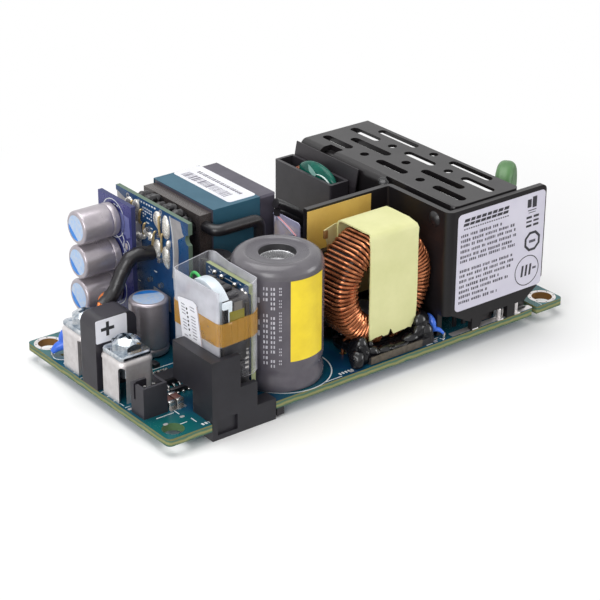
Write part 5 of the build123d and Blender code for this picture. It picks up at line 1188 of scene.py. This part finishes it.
tape_cloth = coated(
    "yellow_tape", (222, 221, 164), (214, 214, 154), 0.52, spread=0.1, blotch=6.0, grain=0.2, bump=0.1
)
belt = node_box("choke_tape")
belt_left, belt_right = belt.left - 0.05, belt.right + 0.05
front_y, rear_y, top_z = belt.front, belt.rear + 0.8, belt.top - 0.03
bottom_edge = [
    (0.0, 4.9), (0.04, 5.5), (0.12, 5.75), (0.24, 5.8), (0.255, 5.95), (0.30, 5.5), (0.41, 5.55), (0.44, 6.6),
    (0.47, 6.5), (0.52, 5.3), (0.69, 5.5), (0.78, 5.5), (0.83, 5.7), (0.9, 5.4), (0.94, 6.2), (1.0, 7.6),
]


def bottom_at(share):
    """Height of the belt's torn lower edge, at a share of its width."""
    for (a, low), (b, high) in zip(bottom_edge, bottom_edge[1:]):
        if share <= b:
            return low + (high - low) * (share - a) / (b - a)
    return bottom_edge[-1][1]


shape = bmesh.new()
columns = 50
# The belt is a little wider down its front, and narrower just behind its front bend.
widening = {2: 0.12, 3: 0.12, 4: 0.12, 5: 0.12, 6: 0.25, 8: -0.35}
grid = {}
for level, inset in ((0, 0.0), (1, 0.3)):
    for i in range(columns + 1):
        share = i / columns
        x = belt_left + (belt_right - belt_left) * share
        low = bottom_at(share)
        front, rear, top = front_y + inset, rear_y - inset, top_z - inset
        wave = 0.12 * sin(share * 5.0) * (1 - inset)
        path = [
            (front, low), (front, low + 0.4), (front - 0.04, 10.0), (front - 0.05 + wave * 0.3, 16.0),
            (front - 0.03, 21.0), (front, 25.4), (front + 0.06, 27.0), (front + 0.34, 27.85),
            (front + 1.0, 28.3 - inset), (front + 3.0, top - 0.02), (-17.3, top + wave * 0.3),
            (rear - 3.0, top), (rear - 1.0, top - 0.06), (rear - 0.3, top - 0.4), (rear - 0.03, top - 1.3),
            (rear, top - 5.0), (rear, 16.0), (rear, 10.6),
        ]
        for j, (y, z) in enumerate(path):
            grid[level, i, j] = shape.verts.new((x + widening.get(j, 0.0) * (share - 0.5) * 2, y, z))
rows = len(path)
for level in (0, 1):
    for i in range(columns):
        for j in range(rows - 1):
            ring = [
                grid[level, i, j], grid[level, i + 1, j], grid[level, i + 1, j + 1], grid[level, i, j + 1]
            ]
            shape.faces.new(ring if level == 0 else ring[::-1])
for i in range(columns):
    for j in (0, rows - 1):
        shape.faces.new((grid[0, i, j], grid[1, i, j], grid[1, i + 1, j], grid[0, i + 1, j]))
for j in range(rows - 1):
    for i in (0, columns):
        shape.faces.new((grid[0, i, j], grid[0, i, j + 1], grid[1, i, j + 1], grid[1, i, j]))
piece("tape_belt", shape, [tape_cloth], ["choke_tape"], 50)

# The end of the belt is turned back behind the choke.
shape = bmesh.new()
outline = [
    (-3.4, 26.6), (-0.6, 27.4), (3.0, 27.2), (1.6, 24.6), (0.4, 22.8), (-0.8, 21.2), (-2.2, 22.4),
    (-2.9, 24.6),
]
add_patch(shape, (0, -11.3, 0), X, Z, outline, 0.25)
add_box(shape, (-2.9, -11.3, 25.6), (0.9, 0.6, 1.8), 0.1, index=1)
add_box(shape, (-1.9, -11.35, 22.9), (1.2, 0.5, 0.9), 0.1, index=1)
piece(
    "belt_end", shape,
    [
        coated("folded_tape", (206, 200, 150), (176, 166, 112), 0.5),
        coated("tape_glue", (150, 112, 66), (126, 90, 50), 0.5),
    ],
)


# Heatsinks
# Black coated aluminium sheet, punched and folded into two heatsinks that are soldered to the board by their
# tabs. The power devices are clamped and riveted to their inner faces.
black_coat = coated(
    "black_coat", (28, 25, 27), (22, 20, 22), 0.34, spread=0.14, blotch=9.0, grain=0.12, bump=0.1
)
paint(black_coat, "slotted_heatsink", "front_heatsink", "heatsink_rivet")
soften(0.22, "slotted_heatsink", "front_heatsink")
kapton = coated("kapton_film", (236, 198, 106), (224, 182, 92), 0.3, spread=0.15, blotch=6.0, bump=0.08)
paint(kapton, "kapton_insulator")
# The sheet is thinned from below on its rear half, so daylight shows through the slots there.
sheet = node_box("slotted_heatsink")
thin_sheet = 0.65
relief_size = (6.9, sheet.rear - sheet.front - 4.6, 1.1)
relief_middle = (sheet.right - 3.75, sheet.middle[1], sheet.top - thin_sheet - relief_size[2] / 2)
cutter_mesh = bpy.data.meshes.new("slot_relief")
shape = bmesh.new()
add_box(shape, relief_middle, relief_size)
bmesh.ops.scale(shape, vec=(MM, MM, MM), verts=shape.verts)
shape.to_mesh(cutter_mesh)
shape.free()
cutter = bpy.data.objects.new("slot_relief", cutter_mesh)
cutter.hide_render = True
bpy.context.scene.collection.objects.link(cutter)
relief = nodes["slotted_heatsink"].modifiers.new("thin sheet", "BOOLEAN")
relief.operation = "DIFFERENCE"
relief.object = cutter
paint(black_plastic, "boost_devices", "switch_transistors", "bridge_rectifier")
shape = bmesh.new()
for x in (25.6, 32.7, 37.5):
    add_box(shape, (x, -24.75, 2.7), (0.9, 0.5, 2.6), 0.12)
    add_box(shape, (x, -25.0, 1.75), (1.6, 1.0, 0.3), 0.1)
piece("heatsink_feet_tin", shape, [tin])
shape = bmesh.new()
outline = [(21.9, 6.3), (27.8, 5.2), (27.6, 3.0), (26.8, 1.7), (26.0, 1.7), (25.4, 3.2), (22.5, 4.5)]
add_patch(shape, (0, -24.3, 0), X, Z, outline, 0.9)
add_box(shape, (30.2, -23.2, 3.3), (3.2, 0.8, 3.0), 0.15)
add_box(shape, (40.4, -22.8, 2.9), (2.4, 0.8, 2.4), 0.15)
piece("heatsink_stand", shape, [black_coat])
shape = bmesh.new()
for place, size in (
    ((17.6, -4.6, 29.3), (1.0, 1.0, 0.7)), ((18.1, -3.6, 29.5), (0.8, 0.9, 0.6)),
    ((17.0, -5.4, 29.2), (0.7, 0.7, 0.5)),
):
    add_blob(shape, place, size, chance, lumps=0.25, detail=3)
piece("heatsink_glue", shape, [glue])
# Spring clip hooked over the wall in the window of the bend
shape = bmesh.new()
add_box(shape, (21.6, 17.6, 27.4), (2.6, 6.4, 1.9), 0.4, 3)
add_box(shape, (20.6, 17.6, 24.0), (0.9, 4.0, 6.4), 0.3, 3)
piece("heatsink_clip", shape, [black_coat])


# Rating label
# A matt paper label stuck to the front plate of the heatsink.
# Its print is only fields, bars and plain rings, with no lettering.
plate_y = node_box("front_heatsink").front
rating_paper = coated(
    "rating_paper", (212, 209, 222), (203, 200, 215), 0.36, spread=0.08, blotch=8.0, bump=0.02
)
rating_ink = coated("rating_ink", (96, 92, 104), (74, 71, 82), 0.5, blotch=0.8, bump=0.02)
strong_ink = coated("strong_ink", (52, 50, 58), (42, 40, 47), 0.5, blotch=1.0, bump=0.02)
shape = bmesh.new()
label_thickness = 0.06
add_patch(shape, (31.6, plate_y, 17.8), X, Z, rounded(24.0, 21.4, 1.0, 6), label_thickness)
ink_y = plate_y - label_thickness


def bar(shape, left, right, bottom, top, index=1, lean=0.0):
    """Upright printed block on the rating label, leaning by a share of its height."""
    slide = lean * (top - bottom)
    add_patch(
        shape, (0, ink_y, 0), X, Z,
        [(left, bottom), (right, bottom), (right + slide, top), (left + slide, top)], 0.015, index,
    )


x = 21.0
for width in (1.5, 1.2, 1.3, 1.3, 1.2, 1.3, 1.4, 1.4):
    bar(shape, x, x + width, 25.75, 26.35, 2, 0.3)
    bar(shape, x + 0.25, x + width + 0.15, 26.65, 27.3, 2, 0.3)
    x += width + 0.22
x = 21.2
while x < 33.0:
    bar(shape, x, x + 0.4, 24.95, 25.25)
    x += 0.62
for row, right in (
    (23.75, 31.6), (22.6, 35.6), (21.5, 35.4), (20.3, 35.3), (19.1, 34.2), (18.1, 35.4), (15.95, 35.0),
    (14.85, 35.2), (13.7, 34.2), (12.5, 31.4), (11.35, 34.6), (10.2, 28.4), (9.0, 31.0),
):
    x = 20.5
    while x < right:
        word = chance.uniform(0.9, 3.2)
        stop = min(x + word, right)
        while x < stop:
            letter = chance.uniform(0.22, 0.5)
            bar(shape, x, x + letter, row - chance.uniform(0.25, 0.33), row + chance.uniform(0.22, 0.36))
            x += letter + 0.17
        x += 0.42
for left, right, bottom, top in (
    (38.6, 39.7, 25.4, 27.2), (40.0, 41.2, 25.2, 27.6), (38.8, 41.2, 24.6, 24.8), (39.0, 41.0, 24.1, 24.25)
):
    bar(shape, left, right, bottom, top, 2)
for x in (38.5, 40.5):
    for bottom, top in ((21.0, 21.5), (22.0, 22.4), (22.9, 23.4)):
        bar(shape, x, x + 1.5, bottom, top, 2)
add_ring(shape, (40.5, ink_y, 17.6), X, Z, 1.75, 2.35, 0.015, start=22.5, steps=8, index=2)
bar(shape, 39.6, 41.4, 17.3, 17.9)
add_ring(shape, (39.4, ink_y, 11.2), X, Z, 3.2, 3.4, 0.015, steps=60, index=2)
for x in (37.7, 38.8, 39.9):
    bar(shape, x, x + 0.55, 10.0, 12.5, 2, 0.1)
bar(shape, 41.0, 42.0, 11.1, 11.6)
piece("rating_label", shape, [rating_paper, rating_ink, strong_ink])


# Mains choke and its cup
# A small wound ring under green lacquer, set upright in an open black moulded cup.
# A card of black insulation leans between the cup and the slotted heatsink.
paint(coated("cup_plastic", (50, 47, 52), (42, 40, 44), 0.4, spread=0.15, blotch=5.0, bump=0.1), "choke_cup")
paint(coated("card", (44, 40, 44), (36, 33, 37), 0.42, spread=0.15, blotch=7.0, bump=0.1), "insulating_card")
soften(0.15, "choke_cup")
green_gloss = coated(
    "green_ring_coat", (8, 100, 84), (4, 70, 62), 0.22, spread=0.2, blotch=2.2, grain=1.4, bump=0.4,
    depth=0.2, Specular_IOR_Level=0.25
)
shape = bmesh.new()
cup_x, cup_y, cup_z = node_box("mains_choke_core").middle
profile = []
for k in range(21):
    angle = 2 * pi * k / 20
    profile.append((6.35 + 2.45 * cos(angle) * (1 + 0.12 * cos(angle * 2)), 1.6 * sin(angle)))
add_lathe(shape, (cup_x, cup_y, cup_z), X, profile, 26)
for vert in shape.verts:
    angle = atan2(vert.co.z - cup_z, vert.co.y - cup_y)
    swell = 1 + 0.025 * sin(angle * 9) + 0.015 * sin(angle * 5 + 1)
    vert.co.y = cup_y + (vert.co.y - cup_y) * swell
    vert.co.z = cup_z + (vert.co.z - cup_z) * swell
dome, spread = (cup_x, cup_y - 2.1, 25.0), (1.72, 6.4, 3.7)
add_blob(shape, dome, spread, chance, lumps=0.03, detail=4)


def on_dome(y, z, lift=0.0):
    """Place on the left side of the lacquered dome."""
    share = 1 - ((y - dome[1]) / spread[1]) ** 2 - ((z - dome[2]) / spread[2]) ** 2
    return Vector((dome[0] - spread[0] * 1.03 * sqrt(max(share, 0.0)) - lift, y, z))


# A painted highlight on the coat: a pale patch with a bright streak below it, where the green lacquer
# reflects light
glint_outline = [(15.7, 28.0), (14.6, 27.9), (13.2, 27.5), (12.1, 26.9), (12.4, 26.3), (13.4, 26.4), (14.7, 27.0)]
middle = shape.verts.new(on_dome(13.7, 27.15, 0.2))
border = [shape.verts.new(on_dome(y, z, 0.1)) for y, z in glint_outline]
for i, vert in enumerate(border):
    shape.faces.new((middle, vert, border[(i + 1) % len(border)])).material_index = 1
glint_streak = smooth_path([
    on_dome(y, z, 0.08) for y, z in ((12.2, 26.9), (11.2, 27.0), (10.0, 26.8), (9.0, 26.3), (8.4, 25.8))
])
thin = len(glint_streak) // 2
add_tube(shape, glint_streak, [0.07 + 0.012 * i for i in range(thin)] + [0.2] * (len(glint_streak) - thin), sides=8, index=2)
# Its second and third colours are the painted highlight patch and streak.
piece(
    "cup_choke_coat", shape,
    [
        green_gloss, coated("painted_highlight_patch", (132, 172, 164), (112, 156, 148), 0.2),
        coated("painted_highlight_streak", (214, 232, 228), (190, 214, 208), 0.2),
    ],
    ["mains_choke_winding"], 50,
)
paint(core_coat, "mains_choke_core")
shape = bmesh.new()
for k in range(5):
    angle = radians(46 + 5.5 * k)
    arc = []
    for step in range(9):
        turn_at = radians(-100 + 25 * step)
        radius = 6.35 + 2.75 * cos(turn_at)
        arc.append((cup_x + 1.9 * sin(turn_at), cup_y + radius * cos(angle), cup_z + radius * sin(angle)))
    add_tube(shape, arc, 0.24, sides=8)
piece(
    "cup_choke_wire", shape, [coated("dull_copper", (134, 68, 36), (92, 44, 24), 0.35, Metallic=0.4)],
)


# Main transformer
# A ferrite core on a dark moulded bobbin, held together by teal tape. The winding sticks out on both sides
# of the core, and the bobbin's pins are soldered to the rectifier board.
core_ferrite = coated(
    "core_ferrite", (84, 80, 92), (72, 69, 80), 0.42, spread=0.12, blotch=5.0, grain=0.12, bump=0.12,
    Specular_IOR_Level=0.35
)
paint(core_ferrite, "transformer_core")
soften(0.2, "transformer_core", "transformer_bobbin")
paint(
    coated("bobbin_plastic", (82, 75, 73), (66, 61, 60), 0.28, spread=0.15, blotch=4.0, bump=0.1),
    "transformer_bobbin",
)
paint(
    coated("dark_winding_tape", (34, 31, 33), (24, 22, 24), 0.25, spread=0.2, blotch=3.0, bump=0.15),
    "transformer_winding",
)
teal_tape = coated(
    "teal_tape", (54, 98, 118), (47, 89, 109), 0.4, spread=0.12, blotch=7.0, bump=0.08,
    Specular_IOR_Level=0.25
)
paint(teal_tape, "transformer_tape")
paint(solder, "transformer_pins")
tape_top = node_box("transformer_tape").top
ink_z = tape_top + sticker_thickness
shape = bmesh.new()
add_patch(shape, (-10.9, 15.4, tape_top), X, Y, rounded(6.9, 19.9, 0.8, 5), sticker_thickness)
y = 23.6
while y > 8.0:
    width = chance.choice((0.16, 0.16, 0.3, 0.45))
    add_patch(shape, (-12.3, y, ink_z), X, Y, rounded(2.3, width, 0.03, 1), 0.012, 1)
    y -= width + chance.choice((0.16, 0.22, 0.34))
y = 22.4
while y > 7.6:
    width = chance.uniform(0.3, 0.5)
    add_patch(shape, (-9.7, y, ink_z), X, Y, rounded(0.85, width, 0.08, 1), 0.012, 2)
    y -= width + 0.28
piece("transformer_label", shape, [label_paper, grey_ink, rating_ink])

# Sleeved ends of the secondary winding reach over to the rectifier board.
shape = bmesh.new()
for y, rise, radius in (
    (21.4, 0.0, 1.05), (18.2, 0.5, 1.0), (15.6, -0.3, 0.9), (12.4, 0.3, 1.0), (9.6, -0.1, 1.05),
    (7.2, -0.6, 0.8),
):
    arc = smooth_path([
        (-21.6, y - 0.3, 25.4 + rise), (-22.8, y, 27.6 + rise), (-24.2, y + 0.1, 28.3 + rise),
        (-25.8, y + 0.2, 27.6 + rise), (-26.9, y + 0.3, 25.8 + rise),
    ])
    add_tube(shape, arc, [radius * (1 + 0.1 * sin(1.9 * i + y)) for i in range(len(arc))], sides=12)
piece("secondary_sleeves", shape, [black_sleeve])
shape = bmesh.new()
for y, z in ((20.2, 28.6), (16.9, 28.9), (14.0, 28.2), (11.0, 28.5), (8.4, 27.9)):
    add_blob(shape, (-25.6, y, z), (0.5, 0.4, 0.35), chance, lumps=0.2, detail=2)
    add_tube(
        shape, smooth_path([(-25.6, y, z), (-26.6, y + 0.1, z - 0.2), (-27.25, y + 0.2, z - 0.9)]), 0.28,
        sides=8,
    )
piece("secondary_ends", shape, [solder])

paint(black_sleeve, "primary_lead", "sleeved_inductor")
shape = bmesh.new()
for drop in (0.0, 1.9):
    lead = [
        (-4.9, 2.5, 28.2), (-3.6, 2.4, 27.5), (-1.4, 2.2, 26.0), (0.6, 2.1, 24.6), (1.8, 1.9, 22.4),
        (2.0, 1.5, 14.0),
    ]
    add_tube(shape, smooth_path([(x + 0.2 * drop, y, z - drop) for x, y, z in lead]), 1.05, sides=14)
piece("sensing_lead", shape, [black_sleeve])
# The clear sheet takes the same painted sheen by face as the film on the auxiliary supply.
paint(clear_film("clear_sheet_film", (198, 196, 226), 0.62, 0.3, 0.85), "clear_sheet")
# Two thin pink and blue tubes along the crease of the clear sheet are painted reflections, the gleam of light
# on the fold.
shape = bmesh.new()
for side, color_index in ((-0.6, 0), (0.1, 1)):
    gleam_line = smooth_path([
        (-4.62, 3.4 + side, 25.6), (-4.66, 1.2 + side, 24.9), (-4.64, -1.0 + side, 24.1),
        (-4.62, -3.4 + side, 23.1),
    ])
    add_tube(shape, gleam_line, 0.16, sides=6, index=color_index)
piece(
    "sheet_crease_gleams", shape,
    [
        coated("pink_gleam", (236, 176, 178), (220, 150, 160), 0.3),
        coated("blue_gleam", (206, 210, 240), (180, 190, 232), 0.3),
    ],
)


# Small parts
# Chips, ceramic capacitors and the optocoupler lie on the board, between the tall parts.
# Each is soldered by its legs or its end caps to tinned pads.
paint(black_plastic, "driver_chip", "optocoupler", "underside_diode")
chip_brown = coated("chip_body", (116, 76, 68), (98, 62, 56), 0.4, blotch=1.0, bump=0.05)
pair = node_box("chip_capacitors")
shape = bmesh.new()
for x in (pair.left + 0.8, pair.right - 0.8):
    _, y, z = pair.middle
    add_box(shape, (x, y, z), (1.56, 2.3, 1.5), 0.14)
    for side in (-1, 1):
        add_box(shape, (x, y + side * 1.35, z), (1.62, 0.8, 1.6), 0.16, index=1)
        add_patch(shape, (x, y + side * 2.0, board_top), X, Y, rounded(1.8, 1.2, 0.3), 0.12, 1)
piece("ceramic_capacitors", shape, [chip_brown, solder], ["chip_capacitors"])
driver = node_box("driver_chip")
shape = bmesh.new()
for x in (-39.6, -38.3, -37.0, -35.7):
    for side in (-1, 1):
        y = driver.middle[1] + side * 3.3
        leg = smooth_path(
            [(x, y - side * 0.4, 2.4), (x, y, 2.3), (x, y + side * 0.35, 1.9), (x, y + side * 1.0, 1.75)], 4
        )
        add_tube(shape, leg, 0.22, sides=6)
        add_patch(shape, (x, y + side * 0.8, board_top), X, Y, rounded(0.7, 1.3, 0.2), 0.06)
for x in (-40.2, -39.2, -37.9, -36.6):
    add_box(shape, (x, -10.0, 1.95), (0.5, 0.9, 0.6), 0.12)
    add_box(shape, (x + 0.1, -11.4, 1.85), (0.5, 0.9, 0.5), 0.12)
piece("chip_legs", shape, [solder])
shape = bmesh.new()
add_box(shape, (-38.3, -10.7, 2.2), (4.2, 1.0, 1.0), 0.15)
for x, y, size in (
    (-45.6, 1.8, (1.6, 0.9, 0.6)), (-36.2, 0.9, (1.4, 2.0, 0.9)), (-7.4, -10.0, (3.0, 1.6, 0.9)),
    (16.0, -1.0, (2.0, 1.2, 0.8)),
):
    add_box(shape, (x, y, board_top + size[2] / 2), size, 0.1)
piece("small_chips", shape, [black_plastic])


# Dipped capacitors
# Two ceramic disc capacitors dipped in blue lacquer, which runs down their leads.
# The bare ends of the leads are soldered through the board.
blue_dip = coated("blue_dip", (70, 120, 226), (48, 98, 208), 0.28, spread=0.1, blotch=3.0, bump=0.06)
shape = bmesh.new()
for center, turned, radius, feet in (
    ((-46.1, 15.6, 5.2), -15.0, 2.75, ((-50.0, 16.9), (-44.2, 15.1))),
    ((16.05, -21.6, 4.5), 90.0, 2.1, ((17.9, -24.4), (16.05, -19.8))),
):
    made = bmesh.ops.create_icosphere(shape, subdivisions=4, radius=1.0)["verts"]
    bmesh.ops.scale(shape, vec=(radius, 1.0, radius), verts=made)
    bmesh.ops.rotate(shape, verts=made, cent=(0, 0, 0), matrix=Matrix.Rotation(radians(turned), 3, "Z"))
    bmesh.ops.translate(shape, verts=made, vec=center)
    along = Vector((cos(radians(turned)), sin(radians(turned)), 0))
    for side, foot in zip((-1, 1), feet):
        start = Vector(center) + (along * side * 0.55 - Z * 0.44) * radius
        middle = Vector((foot[0] * 0.6 + start.x * 0.4, foot[1] * 0.6 + start.y * 0.4, 3.4))
        end = Vector((foot[0], foot[1], 2.5))
        leg = smooth_path([start, middle, end])
        shares = [i / (len(leg) - 1) for i in range(len(leg))]
        add_tube(shape, leg, [(radius - 1.5) * (1 - 0.62 * share**1.2) for share in shares], sides=14)
        bare_lead = smooth_path([end + Z * 0.3, end - Z * 0.5, Vector((foot[0], foot[1], -0.6))])
        add_tube(shape, bare_lead, 0.28, sides=8, index=1)
piece("dipped_capacitors", shape, [blue_dip, solder], ["disc_capacitors"])


# Mains input
# Connector, fuse, filter choke, two film capacitors and the inrush thermistor at the far end of the board.
# All are soldered through the board by their leads; the thermistor stands tallest, on long bent ones.
paint(
    coated("filter_core_coat", (26, 104, 88), (16, 82, 70), 0.25, spread=0.15, blotch=3.0),
    "filter_choke_core",
)
paint(enamel, "filter_choke_winding")
paint(
    coated("film_capacitor_case", (206, 178, 96), (190, 160, 80), 0.4, blotch=4.0), "line_capacitor",
    "film_capacitor",
)
paint(coated("fuse_case", (58, 50, 48), (46, 40, 38), 0.4, blotch=3.0), "fuse")
paint(coated("connector_nylon", (226, 222, 208), (212, 206, 190), 0.45, blotch=4.0), "mains_connector")
paint(tin, "mains_pins", "thermistor_leads")
soften(0.25, "line_capacitor", "film_capacitor", "mains_connector")
soften(0.3, "fuse")
paint(
    coated(
        "thermistor_coat", (90, 132, 82), (74, 114, 68), 0.42, spread=0.15, blotch=2.5, grain=0.3, bump=0.15
    ),
    "thermistor",
)
soften(0.5, "thermistor")
